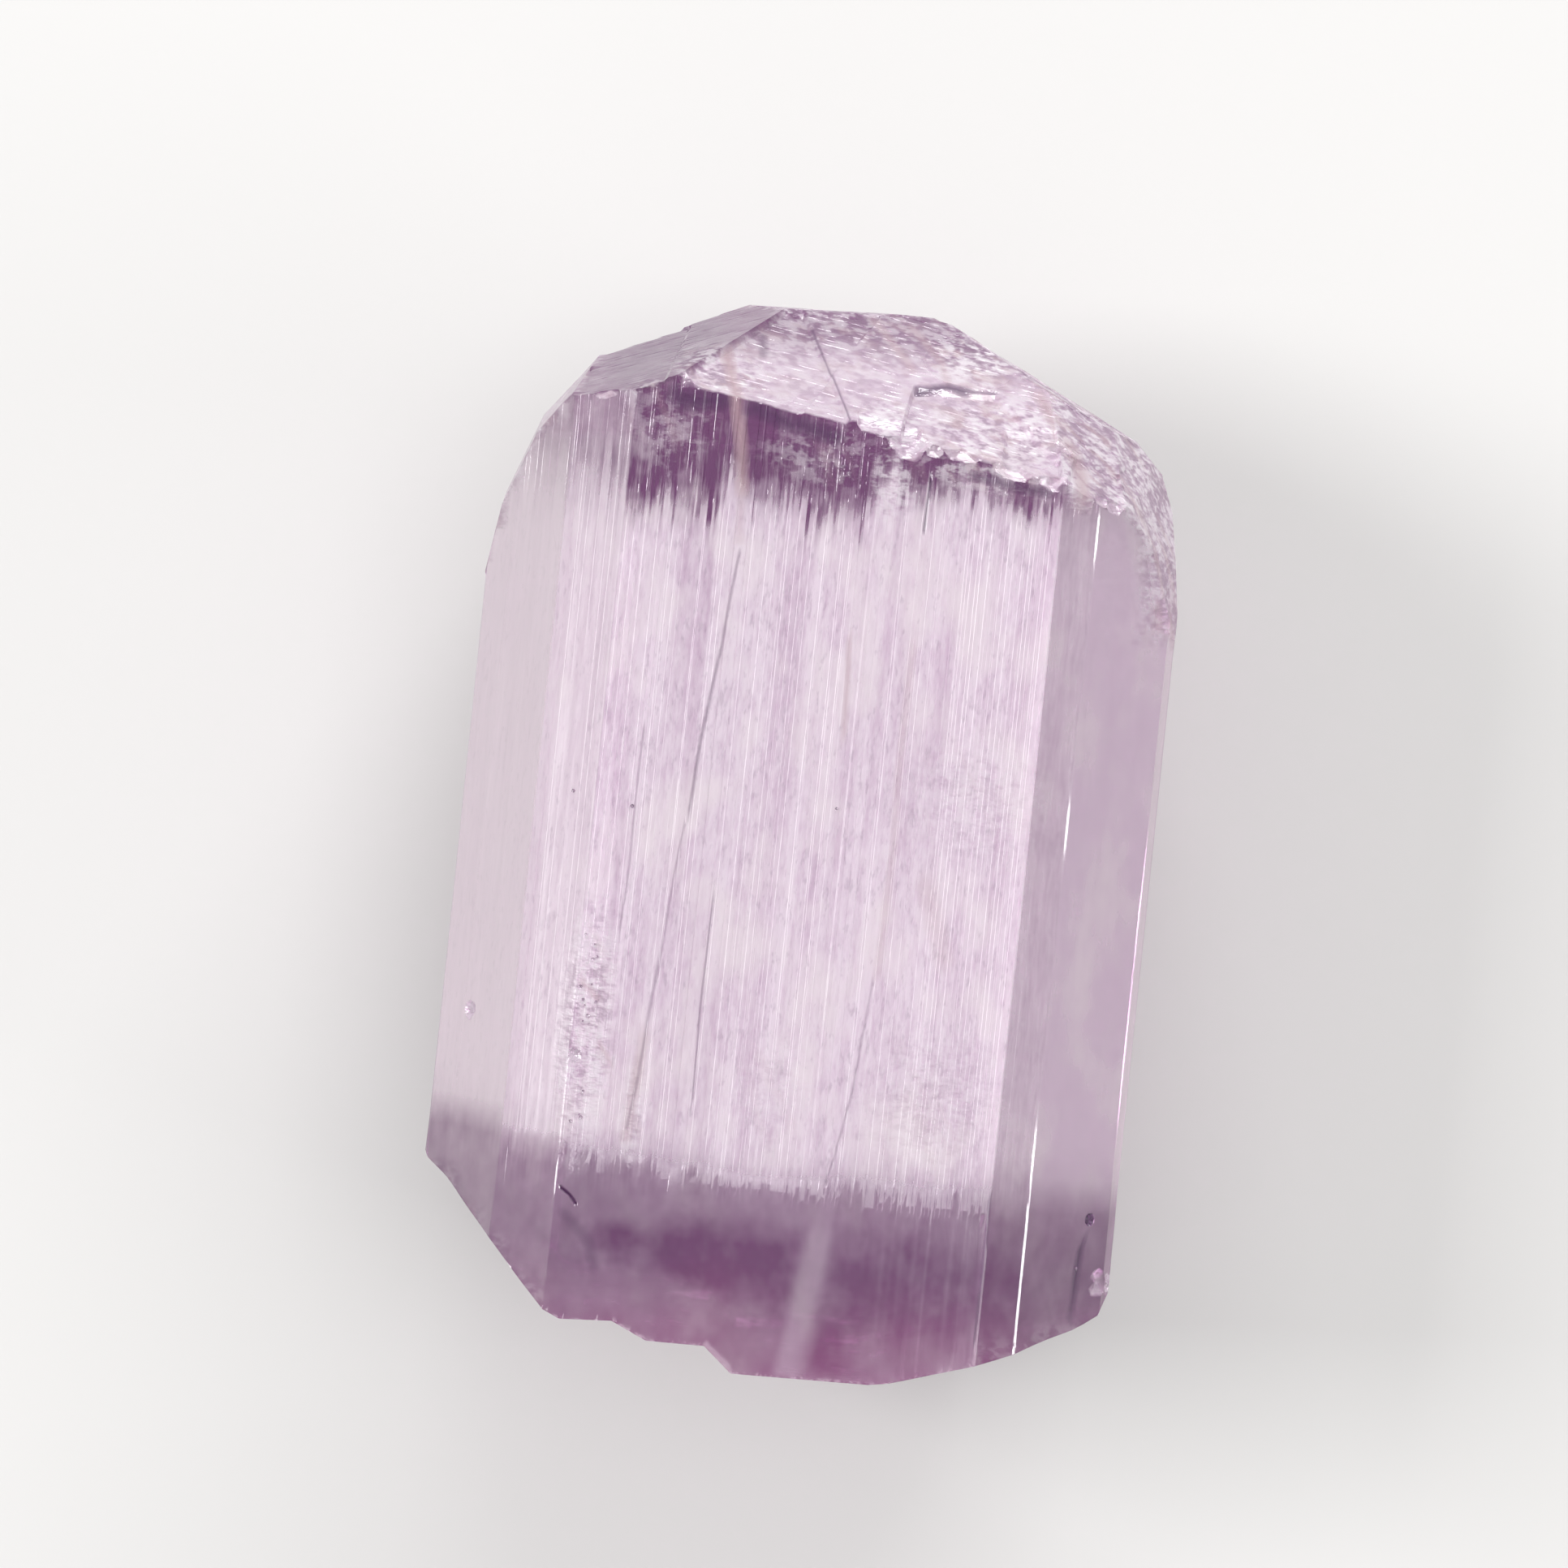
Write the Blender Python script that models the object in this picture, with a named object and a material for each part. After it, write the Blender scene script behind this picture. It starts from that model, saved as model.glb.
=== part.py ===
"""A scapolite crystal: a stubby violet prism with a low pyramid at one end and a fracture at the other.

It lies on its back prism face, with its long axis along Y and the pyramid towards +Y. The origin is under
the middle of the crystal, on the surface that it lies on. Lengths are in millimetres until a point is made,
and MM turns them to metres there.
"""

import math
import random

import bmesh
import bpy
import numpy as np
from mathutils import Vector, noise

MM = 0.001

# The whole crystal
LENGTH = 24.0
HALF_WIDTH = 7.78
THICKNESS = 11.6

# The prism's cross-section: its corners as (across, up), from the back's left edge and then round by the
# right. The broad faces are square to each other and the narrow ones cut their corners at about 45 degrees.
SECTION = [
    (-4.7, 0.0),
    (5.0, 0.0),
    (HALF_WIDTH, 2.9),
    (HALF_WIDTH, 8.85),
    (7.62, 9.25),
    (5.75, 11.25),
    (4.9, THICKNESS),
    (-4.75, THICKNESS),
    (-6.1, 10.6),
    (-HALF_WIDTH, 8.3),
    (-HALF_WIDTH, 3.2),
]
SECTION_NAMES = [
    "back",
    "back right",
    "right",
    "right round",
    "front right",
    "front bevel",
    "front",
    "front left",
    "outer left",
    "left",
    "back left",
]

# The facets of the two ends. Each passes through a point (across, along, up), with along measured from the
# lowest point of the broken end, and drops by so much a millimetre across and so much a millimetre up.
PYRAMID = {
    "top left": ((-3.0, 23.63, 6.1), (-0.38, 0.25)),
    "top front": ((1.5, 21.1, THICKNESS), (0.16, 0.527)),
    "top crest": ((1.5, 23.99, 6.1), (-0.035, 0.06)),
    "top right": ((2.35, 23.74, 6.3), (0.5, 0.12)),
    "top corner": ((6.3, 20.1, 10.66), (0.62, 0.48)),
    "top back left": ((-3.0, 23.63, 6.1), (-0.55, -0.30)),
    "top back": ((0.5, 23.95, 5.6), (0.02, -0.56)),
    "top back right": ((3.2, 23.32, 6.1), (0.5, -0.42)),
}
SHOULDERS = {
    "right shoulder 1": ((7.03, 21.0, 6.8), (1.15, 0.15)),
    "right shoulder 2": ((7.37, 20.4, 6.8), (2.6, 0.12)),
    "right shoulder 3": ((7.6, 19.35, 6.8), (7.5, 0.1)),
    "front shoulder 1": ((6.75, 19.75, 10.18), (1.2, 0.42)),
    "front shoulder 2": ((7.2, 18.95, 9.7), (1.9, 0.5)),
    "front shoulder 3": ((7.5, 17.9, 9.38), (4.0, 1.2)),
    "left shoulder 1": ((-5.85, 22.17, 7.4), (-1.46, 0.12)),
    "left shoulder 2": ((-7.04, 20.3, 7.0), (-2.75, 0.12)),
    "left shoulder 3": ((-7.57, 18.8, 7.0), (-6.8, 0.15)),
    "back shoulder right": ((6.9, 21.1, 5.2), (1.1, -0.62)),
    "back shoulder left": ((-6.9, 20.6, 4.6), (-2.0, -0.75)),
}
# The broken end's facets rise in the same way instead of dropping
FRACTURE = {
    "break outer left": ((-7.55, 3.45, THICKNESS), (-2.1, -0.03)),
    "break left": ((-6.17, 2.3, THICKNESS), (-0.9, -0.06)),
    "break inner left": ((-4.6, 0.95, THICKNESS), (-0.44, -0.05)),
    "break middle": ((0.6, 0.04, THICKNESS), (0.02, -0.07)),
    "break inner right": ((3.9, 0.3, THICKNESS), (0.17, -0.06)),
    "break right": ((5.0, 0.76, THICKNESS), (0.31, -0.09)),
    "break outer right": ((7.65, 1.66, THICKNESS), (2.4, -0.12)),
}

# Growth grooves, parallel to the long axis, on every prism face but the back, which the crystal lies on
GROOVE_SPACING = 0.72
GROOVE_HALF_WIDTHS = (0.08, 0.22)
GROOVE_DEPTHS = (0.025, 0.075)
GROOVE_EDGE_ROOM = 0.3
GROOVE_END_SHARE = 0.3
ROW_SPACING = 1.6

# Growth ledges: the facet, the depth of its lowered part, and a line of points round that part, as
# (across, along) seen from the front, with the lowered part on the line's left
LEDGES = [
    ("top front", 0.11, [(0.14, 21.1), (-1.05, 23.5)]),
    ("top front", 0.12, [(3.2, 20.0), (3.35, 22.32), (1.35, 22.3), (1.1, 20.0)]),
    ("top front", 0.16, [(1.8, 20.5), (1.6, 21.42), (0.2, 21.45), (0.0, 20.5)]),
    ("top front", 0.07, [(4.6, 21.65), (3.5, 21.6), (3.4, 20.0)]),
    ("top front", 0.06, [(-0.2, 22.75), (0.9, 24.5)]),
    ("top corner", 0.10, [(6.9, 20.75), (5.1, 21.15), (4.8, 20.0)]),
    ("top left", 0.06, [(-4.2, 21.4), (-3.6, 23.8)]),
    ("top back", 0.12, [(-1.5, 20.0), (-0.4, 24.0)]),
    ("top back", 0.10, [(2.6, 24.0), (3.2, 20.5)]),
    ("top back left", 0.09, [(-4.6, 20.5), (-3.7, 24.0)]),
    ("top back right", 0.10, [(4.9, 20.0), (5.0, 23.0)]),
]
RISER = 0.07

# The notch in the lower left of the broken end, as (across, depth)
NOTCH = [(-4.35, 0.0), (-3.2, 0.58), (-1.1, 0.56), (-0.45, 0.0)]
FRACTURE_LUMP = 0.4
FRACTURE_RIPPLE = 0.07
RIPPLE_SPACING = 1.3
RIPPLE_CENTRE = (2.2, 9.8)

PYRAMID_GRID = 0.62
FRACTURE_GRID = 0.85
PYRAMID_LUMP = 0.045
WALL_WAVE = 0.02

# Chips and pits, each a ball sunk to its depth: the ball's radius, its depth, and where it bites, as
# (across, along, up) with the way out of the surface there
CHIPS = [
    (0.62, 0.24, (1.55, 20.98, THICKNESS), (0, 0.6, 0.8)),
    (0.50, 0.17, (2.55, 20.86, THICKNESS), (0, 0.6, 0.8)),
    (0.66, 0.27, (3.62, 20.72, THICKNESS), (0, 0.6, 0.8)),
    (0.45, 0.18, (4.62, 20.55, 11.55), (0.2, 0.6, 0.8)),
    (0.80, 0.16, (-3.6, 21.93, THICKNESS), (0, 0.6, 0.8)),
    (0.60, 0.20, (-5.4, 21.55, 11.1), (-0.6, 0.5, 0.6)),
    (0.40, 0.17, (-2.1, 23.05, 8.1), (0, 0.87, 0.48)),
    (0.42, 0.14, (4.85, 21.3, 10.2), (0.5, 0.7, 0.5)),
    (0.38, 0.16, (7.12, 4.15, 9.8), (0.73, 0, 0.68)),
    (0.75, 0.22, (7.42, 2.6, 9.45), (0.73, 0, 0.68)),
    (0.30, 0.12, (-4.65, 9.4, THICKNESS), (0, 0, 1)),
    (0.26, 0.11, (-4.5, 8.1, THICKNESS), (0, 0, 1)),
    (0.34, 0.13, (-4.62, 6.6, THICKNESS), (0, 0, 1)),
    (0.30, 0.10, (-7.1, 7.4, 9.25), (-0.81, 0, 0.59)),
    (0.55, 0.16, (-HALF_WIDTH, 14.2, 4.6), (-1, 0, 0)),
    (0.45, 0.14, (HALF_WIDTH, 9.3, 5.4), (1, 0, 0)),
    (0.70, 0.20, (0.8, 21.0, 0.0), (0, 0.6, -0.8)),
    (0.60, 0.18, (6.5, 15.2, 1.55), (0.72, 0, -0.69)),
]

SEED = 11
NOISE_SHIFT = Vector((3.7, 1.9, 8.3))

COLOUR = (0.53, 0.36, 0.52, 1.0)
ROUGHNESS = 0.28
TRANSMISSION = 0.6
IOR = 1.55


def clear_scene():
    """Empties the scene."""
    for obj in list(bpy.data.objects):
        bpy.data.objects.remove(obj, do_unlink=True)


def point(across, along, up):
    """A place on the crystal in metres, from millimetres along it from its broken end."""
    return Vector((across, along - LENGTH / 2, up)) * MM


def crystal_material():
    """Violet scapolite, see-through and silky from its growth grooves."""
    material = bpy.data.materials.new("violet scapolite")
    material.use_nodes = True
    shader = material.node_tree.nodes["Principled BSDF"]
    shader.inputs["Base Color"].default_value = COLOUR
    shader.inputs["Metallic"].default_value = 0.0
    shader.inputs["Roughness"].default_value = ROUGHNESS
    shader.inputs["Transmission Weight"].default_value = TRANSMISSION
    shader.inputs["IOR"].default_value = IOR
    material.diffuse_color = COLOUR
    return material


class Crystal:
    """The crystal's mesh while it is cut, with the name and outward normal of each of its facets."""

    def __init__(self):
        self.mesh = bmesh.new()
        self.names = []
        self.normals = []
        bmesh.ops.create_cube(self.mesh, size=4 * LENGTH * MM)
        self.number = self.mesh.faces.layers.int.new("facet")

    def cut_facet(self, name, place, normal):
        """Cuts off all that is outside a plane, and closes the cut with one flat facet."""
        every = self.mesh.verts[:] + self.mesh.edges[:] + self.mesh.faces[:]
        cut = bmesh.ops.bisect_plane(
            self.mesh, geom=every, dist=1e-8, plane_co=place, plane_no=normal, clear_outer=True
        )
        rim = [part for part in cut["geom_cut"] if isinstance(part, bmesh.types.BMEdge)]
        if len(rim) < 3:
            raise RuntimeError(f"the facet {name} misses the crystal")
        for face in bmesh.ops.contextual_create(self.mesh, geom=rim)["faces"]:
            face[self.number] = len(self.names)
        self.names.append(name)
        self.normals.append(normal.normalized())

    def faces_of(self, name):
        number = self.names.index(name)
        return [face for face in self.mesh.faces if face[self.number] == number]

    def score(self, name, place, normal):
        """Draws a line across one facet, where a plane meets it."""
        faces = self.faces_of(name)
        edges = {edge for face in faces for edge in face.edges}
        verts = {vert for face in faces for vert in face.verts}
        bmesh.ops.bisect_plane(
            self.mesh, geom=list(verts) + list(edges) + faces, dist=1e-7, plane_co=place, plane_no=normal
        )

    def span_of(self, name, direction):
        """The least and greatest reach of one facet along a direction, in metres."""
        reach = [vert.co.dot(direction) for face in self.faces_of(name) for vert in face.verts]
        return min(reach), max(reach)


def cut_prism(crystal):
    """The prism's walls, one between each two corners of the cross-section."""
    ends = SECTION[1:] + SECTION[:1]
    for name, (x0, z0), (x1, z1) in zip(SECTION_NAMES, SECTION, ends):
        crystal.cut_facet(name, point(x0, 0, z0), Vector((z1 - z0, 0, x0 - x1)))


def cut_ends(crystal):
    """The pyramid with its rounded shoulders, and the broken end."""
    for name, (place, (across, up)) in {**PYRAMID, **SHOULDERS}.items():
        crystal.cut_facet(name, point(*place), Vector((across, 1, up)))
    for name, (place, (across, up)) in FRACTURE.items():
        crystal.cut_facet(name, point(*place), Vector((across, -1, up)))


def spaced(low, high, step):
    """Places between two ends, at about one step from each other."""
    count = max(1, round((high - low) / step))
    return [low + (high - low) * k / count for k in range(1, count)]


def draw_grooves(crystal, draw):
    """Lines along every groove of the prism's walls, then rows across them. Returns the grooves by wall."""
    grooves = {}
    for name in SECTION_NAMES[1:]:
        normal = crystal.normals[crystal.names.index(name)]
        across = Vector((0, 1, 0)).cross(normal)
        low, high = (reach / MM for reach in crystal.span_of(name, across))
        found = []
        place = low + GROOVE_EDGE_ROOM
        while place < high - GROOVE_EDGE_ROOM:
            half = draw.uniform(*GROOVE_HALF_WIDTHS)
            found.append((place, half, draw.uniform(*GROOVE_DEPTHS), draw.uniform(0, 50)))
            for line in (place - half, place, place + half):
                crystal.score(name, across * line * MM, across)
            place += GROOVE_SPACING * draw.uniform(0.75, 1.3)
        grooves[name] = found
        low, high = crystal.span_of(name, Vector((0, 1, 0)))
        for row in spaced(low, high, ROW_SPACING * MM):
            crystal.score(name, Vector((0, row, 0)), Vector((0, 1, 0)))
    return grooves


def sides(outline):
    """The lines of a ledge, each as a place on it and the way from it towards the lowered part."""
    for (x0, v0), (x1, v1) in zip(outline, outline[1:]):
        yield point(x0, v0, 0), Vector((v0 - v1, x1 - x0, 0)).normalized()


def draw_ledges(crystal):
    """Two lines along each side of a ledge, for the top and the foot of its riser."""
    for name, _, outline in LEDGES:
        for place, inward in sides(outline):
            crystal.score(name, place, inward)
            crystal.score(name, place + inward * RISER * MM, inward)


def draw_grids(crystal):
    """Squares over the pyramid and the broken end, so that both can be uneven."""
    for names, step in ((PYRAMID, PYRAMID_GRID), (FRACTURE, FRACTURE_GRID)):
        for name in names:
            for axis in (Vector((1, 0, 0)), Vector((0, 0, 1))):
                low, high = crystal.span_of(name, axis)
                for place in spaced(low, high, step * MM):
                    crystal.score(name, axis * place, axis)
    for across, _ in NOTCH:
        for name in ("break inner left", "break middle"):
            crystal.score(name, point(across, 0, 0), Vector((1, 0, 0)))


def wall_depth(co, normal, grooves):
    """How deep the grooves of one wall are at a point, in mm. They run deeper and shallower along it."""
    place = co.dot(Vector((0, 1, 0)).cross(normal)) / MM
    along = co.y / MM
    depth = WALL_WAVE * (0.5 + 0.5 * noise.noise(Vector((place * 0.5, along * 0.25, 2.0))))
    for centre, half, deepest, shift in grooves:
        share = 1 - abs(place - centre) / half
        if share > 0:
            depth += deepest * share * (0.7 + 0.5 * noise.noise(Vector((along * 0.16, shift, 0.5))))
    return depth


def ledge_depth(co, name):
    """How far the ledges lower a pyramid facet at a point, in mm."""
    depth = 0.0
    for facet, drop, outline in LEDGES:
        if facet == name:
            inside = min((co - place).dot(inward) for place, inward in sides(outline)) / MM
            depth += drop * min(max(inside / RISER, 0.0), 1.0)
    return depth


def notch_depth(co):
    """The depth of the broken end's notch at a point, in mm."""
    places, depths = zip(*NOTCH)
    return float(np.interp(co.x / MM, places, depths))


def fracture_depth(co, name):
    """The broken end's lumps, its shell-like ripples and its notch at a point, in mm."""
    x, z = co.x / MM, co.z / MM
    lump = 0.5 + 0.5 * noise.noise(Vector((x * 0.42, z * 0.42, 5.0)))
    far = math.hypot(x - RIPPLE_CENTRE[0], z - RIPPLE_CENTRE[1])
    ripple = 0.5 + 0.5 * math.sin(2 * math.pi * far / RIPPLE_SPACING)
    inside = min(1.0, max(0.0, (THICKNESS - z) / 2.5))
    depth = FRACTURE_LUMP * lump * inside + FRACTURE_RIPPLE * ripple * inside
    if name in ("break inner left", "break middle"):
        depth += notch_depth(co)
    return depth


def end_depth(co, name):
    """How far one facet of the two ends is worn in along the crystal at a point, in mm."""
    if name in PYRAMID:
        lump = 0.5 + 0.5 * noise.noise(co / MM * 0.8 + NOISE_SHIFT)
        return PYRAMID_LUMP * lump + ledge_depth(co, name)
    if name in FRACTURE:
        return fracture_depth(co, name)
    return 0.0


def mean_move(crystal, vert, names, move):
    """The mean of one move over those of the named facets that a point is on."""
    numbers = sorted({face[crystal.number] for face in vert.link_faces})
    moves = [move(vert.co, crystal.names[k], crystal.normals[k]) for k in numbers if crystal.names[k] in names]
    return sum(moves, Vector()) / max(1, len(moves))


def wear_ends(crystal):
    """Makes both ends uneven. Their points move along the crystal alone, and so stay in the prism's walls."""
    names = [*PYRAMID, *SHOULDERS, *FRACTURE]
    bmesh.ops.triangulate(crystal.mesh, faces=[face for name in names for face in crystal.faces_of(name)])

    def move(co, name, normal):
        return Vector((0, -math.copysign(end_depth(co, name) * MM, normal.y), 0))

    moves = [(vert, mean_move(crystal, vert, names, move)) for vert in crystal.mesh.verts]
    for vert, shift in moves:
        vert.co += shift


def wear_walls(crystal, grooves):
    """Sinks the growth grooves into the prism's walls, square to each wall."""
    bmesh.ops.triangulate(crystal.mesh, faces=crystal.mesh.faces[:])

    def move(co, name, normal):
        return -normal * wall_depth(co, normal, grooves[name]) * MM

    walls = SECTION_NAMES[1:]
    moves = [(vert, mean_move(crystal, vert, walls, move)) for vert in crystal.mesh.verts]
    for vert, shift in moves:
        at_end = any(crystal.names[face[crystal.number]] not in SECTION_NAMES for face in vert.link_faces)
        vert.co += shift * (GROOVE_END_SHARE if at_end else 1.0)
        vert.co.z = max(vert.co.z, 0.0)


def crystal_object(crystal, material):
    """Turns the cut mesh into the crystal, with flat facets."""
    bmesh.ops.recalc_face_normals(crystal.mesh, faces=crystal.mesh.faces[:])
    data = bpy.data.meshes.new("crystal")
    crystal.mesh.to_mesh(data)
    crystal.mesh.free()
    data.materials.append(material)
    obj = bpy.data.objects.new("crystal", data)
    bpy.context.scene.collection.objects.link(obj)
    return obj


def chip_cutter():
    """All the balls that bite the chips and pits, as one helper object."""
    mesh = bmesh.new()
    for radius, depth, place, out in CHIPS:
        centre = point(*place) + Vector(out).normalized() * (radius - depth) * MM
        ball = bmesh.ops.create_icosphere(mesh, subdivisions=2, radius=radius * MM)
        bmesh.ops.translate(mesh, verts=ball["verts"], vec=centre)
    data = bpy.data.meshes.new("chip cutter")
    mesh.to_mesh(data)
    mesh.free()
    obj = bpy.data.objects.new("chip_cutter", data)
    obj.hide_render = True
    obj.display_type = "WIRE"
    bpy.context.scene.collection.objects.link(obj)
    return obj


def bite_chips(obj):
    """Takes the chips and pits out of the crystal."""
    bites = obj.modifiers.new("Chips", "BOOLEAN")
    bites.operation = "DIFFERENCE"
    bites.solver = "EXACT"
    bites.object = chip_cutter()


def main():
    clear_scene()
    draw = random.Random(SEED)
    crystal = Crystal()
    cut_prism(crystal)
    cut_ends(crystal)
    draw_ledges(crystal)
    draw_grids(crystal)
    wear_ends(crystal)
    wear_walls(crystal, draw_grooves(crystal, draw))
    bite_chips(crystal_object(crystal, crystal_material()))


main()
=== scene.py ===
"""The looks of a violet scapolite crystal, lying on its back prism face on a pale floor.

The crystal is cut from a block, facet by facet, as its growth left it: a stubby prism with a low pyramid at
one end and a fracture at the other. Its walls are then scored into the fine strips that growth left along it,
and each strip leans by its own few degrees, which gives part of the silky shine; the rest is painted sheen in
the pale silky colour of the surface. Shapes are in millimetres while they are cut and in metres once they are
finished.
"""

import math
import random
from collections import namedtuple

import bmesh
import bpy
import numpy as np
from bpy.props import FloatProperty, FloatVectorProperty, PointerProperty
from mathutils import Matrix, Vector, noise


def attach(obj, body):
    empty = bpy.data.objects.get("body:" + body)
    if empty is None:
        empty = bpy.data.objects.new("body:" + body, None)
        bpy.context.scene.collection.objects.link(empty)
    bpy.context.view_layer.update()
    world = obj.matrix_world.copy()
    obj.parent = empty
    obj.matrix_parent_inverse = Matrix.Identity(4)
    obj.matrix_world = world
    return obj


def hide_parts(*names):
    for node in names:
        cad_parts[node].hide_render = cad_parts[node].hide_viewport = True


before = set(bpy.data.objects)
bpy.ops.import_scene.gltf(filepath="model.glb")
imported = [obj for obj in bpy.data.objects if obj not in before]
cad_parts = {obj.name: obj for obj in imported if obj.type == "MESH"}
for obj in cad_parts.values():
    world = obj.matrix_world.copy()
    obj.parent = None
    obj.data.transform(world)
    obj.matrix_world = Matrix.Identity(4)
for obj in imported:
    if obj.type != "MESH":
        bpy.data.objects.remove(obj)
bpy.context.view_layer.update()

bl_info = {
    "name": "Scapolite crystal",
    "version": (1, 0, 0),
    "blender": (4, 5, 0),
    "location": "3D View > Sidebar > Scapolite",
    "description": "Cuts a violet scapolite crystal and sets it on a pale floor in soft light",
    "category": "Add Mesh",
}

MM = 0.001

# The whole crystal
LENGTH = 24.0
HALF_WIDTH = 7.78
THICKNESS = 11.6

# The prism's cross-section: the corner where each wall begins, as (across, up), from the back's left edge and
# then round by the right
SECTION = {
    "back": (-4.7, 0.0),
    "back right": (5.0, 0.0),
    "right": (HALF_WIDTH, 2.9),
    "right round": (HALF_WIDTH, 8.85),
    "front right": (7.62, 9.25),
    "front bevel": (5.75, 11.25),
    "front": (4.9, THICKNESS),
    "front left": (-4.75, THICKNESS),
    "outer left": (-6.1, 10.6),
    "left": (-HALF_WIDTH, 8.3),
    "back left": (-HALF_WIDTH, 3.2),
}

# The facets of the two ends. Each passes through a point (across, along, up), with along measured from the
# lowest point of the broken end, and drops by so much a millimetre across and so much a millimetre up.
PYRAMID = {
    "top left": ((-3, 23.63, 6.1), (-0.38, 0.25)),
    "top front": ((1.5, 21.1, THICKNESS), (0.16, 0.527)),
    "top crest": ((1.5, 23.99, 6.1), (-0.035, 0.06)),
    "top right": ((2.35, 23.74, 6.3), (0.5, 0.12)),
    "top corner": ((6.3, 20.1, 10.66), (0.62, 0.48)),
    "top back left": ((-3, 23.63, 6.1), (-0.55, -0.30)),
    "top back": ((0.5, 23.95, 5.6), (0.02, -0.56)),
    "top back right": ((3.2, 23.32, 6.1), (0.5, -0.42)),
}
SHOULDERS = {
    "right shoulder 1": ((7.03, 21.0, 6.8), (1.15, 0.15)),
    "right shoulder 2": ((7.37, 20.4, 6.8), (2.6, 0.12)),
    "right shoulder 3": ((7.6, 19.35, 6.8), (7.5, 0.1)),
    "front shoulder 1": ((6.75, 19.75, 10.18), (1.2, 0.42)),
    "front shoulder 2": ((7.2, 18.95, 9.7), (1.9, 0.5)),
    "front shoulder 3": ((7.5, 17.9, 9.38), (4.0, 1.2)),
    "left shoulder 1": ((-5.85, 22.17, 7.4), (-1.46, 0.12)),
    "left shoulder 2": ((-7.04, 20.3, 7.0), (-2.75, 0.12)),
    "left shoulder 3": ((-7.57, 18.8, 7.0), (-6.8, 0.15)),
    "back shoulder right": ((6.9, 21.1, 5.2), (1.1, -0.62)),
    "back shoulder left": ((-6.9, 20.6, 4.6), (-2.0, -0.75)),
}
# The broken end's facets rise in the same way instead of dropping
FRACTURE = {
    "break outer left": ((-7.55, 3.45, THICKNESS), (-2.1, -0.03)),
    "break left": ((-6.17, 2.3, THICKNESS), (-0.9, -0.06)),
    "break inner left": ((-4.6, 0.95, THICKNESS), (-0.44, -0.05)),
    "break middle": ((0.6, 0.04, THICKNESS), (0.02, -0.07)),
    "break inner right": ((3.9, 0.3, THICKNESS), (0.17, -0.06)),
    "break right": ((5, 0.76, THICKNESS), (0.31, -0.09)),
    "break outer right": ((7.65, 1.66, THICKNESS), (2.4, -0.12)),
}

# Growth ledges on the pyramid: the facet, the depth of its lowered part, and a line of points round that
# part, as (across, along) seen from the front, with the lowered part on the line's left
LEDGES = [
    ("top front", 0.11, [(0.14, 21.1), (-1.05, 23.5)]),
    ("top front", 0.12, [(5.2, 20.6), (3.2, 22.33), (1.35, 22.3), (0.9, 20)]),
    ("top front", 0.16, [(1.8, 20.5), (1.6, 21.42), (0.2, 21.45), (0, 20.5)]),
    ("top front", 0.07, [(4.6, 21.65), (3.5, 21.6), (3.4, 20)]),
    ("top front", 0.06, [(-0.2, 22.75), (0.9, 24.5)]),
    ("top corner", 0.10, [(6.9, 20.75), (5.1, 21.15), (4.8, 20)]),
    ("top left", 0.06, [(-4.2, 21.4), (-3.6, 23.8)]),
    ("top back", 0.12, [(-1.5, 20), (-0.4, 24)]),
    ("top back", 0.10, [(2.6, 24), (3.2, 20.5)]),
    ("top back left", 0.09, [(-4.6, 20.5), (-3.7, 24)]),
    ("top back right", 0.10, [(4.9, 20), (5, 23)]),
]
# How far the slope of a ledge reaches
RISER = 0.07

# The broken end: its notch as (across, depth), its lumps, its shell-like ripples round one point, and how far
# below the front wall both reach their full depth
NOTCH = [(-4.35, 0.0), (-3.2, 0.58), (-1.1, 0.56), (-0.45, 0.0)]
NOTCHED = ("break inner left", "break middle")
FRACTURE_LUMP = 0.4
FRACTURE_RIPPLE = 0.07
RIPPLE_SPACING = 1.3
RIPPLE_CENTRE = (2.2, 9.8)
ROUGH_FROM = 2.5
PYRAMID_LUMP = 0.045
NOISE_SHIFT = Vector((3.7, 1.9, 8.3))
# How quickly the lumps of each end change along each axis, a millimetre
FRACTURE_WAVES = (0.42, 0, 0.42)
PYRAMID_WAVES = (0.8, 0.8, 0.8)

# Chips, each a ball sunk to its depth: its radius, its depth, where it bites as (across, along, up), the way
# out of the surface there, and how dark the painted shade inside it is if it isn't pale
CHIPS = [
    (0.80, 0.15, (1.45, 20.98, THICKNESS), (0, 0.6, 0.8)),
    (0.70, 0.12, (2.6, 20.86, THICKNESS), (0, 0.6, 0.8)),
    (0.85, 0.17, (3.75, 20.72, THICKNESS), (0, 0.6, 0.8)),
    (0.55, 0.12, (4.62, 20.55, 11.55), (0.2, 0.6, 0.8)),
    (1.10, 0.12, (-3.5, 21.93, THICKNESS), (0, 0.6, 0.8)),
    (0.90, 0.12, (-5.4, 21.55, 11.1), (-0.6, 0.5, 0.6)),
    (0.42, 0.14, (4.85, 21.3, 10.2), (0.5, 0.7, 0.5)),
    (0.20, 0.09, (7.18, 4.15, 9.72), (0.73, 0, 0.68), 0.95),
    (0.95, 0.10, (7.6, 2.6, 9.3), (0.73, 0, 0.68), 0.1),
    (0.30, 0.05, (-4.6, 6.7, THICKNESS), (0, 0, 1), 0.1),
    (0.30, 0.10, (-7.1, 7.4, 9.25), (-0.81, 0, 0.59)),
    (0.55, 0.16, (-HALF_WIDTH, 14.2, 4.6), (-1, 0, 0)),
    (0.45, 0.14, (HALF_WIDTH, 9.3, 5.4), (1, 0, 0)),
    (0.70, 0.20, (0.8, 21, 0), (0, 0.6, -0.8)),
    (0.60, 0.18, (6.5, 15.2, 1.55), (0.72, 0, -0.69)),
]
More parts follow.
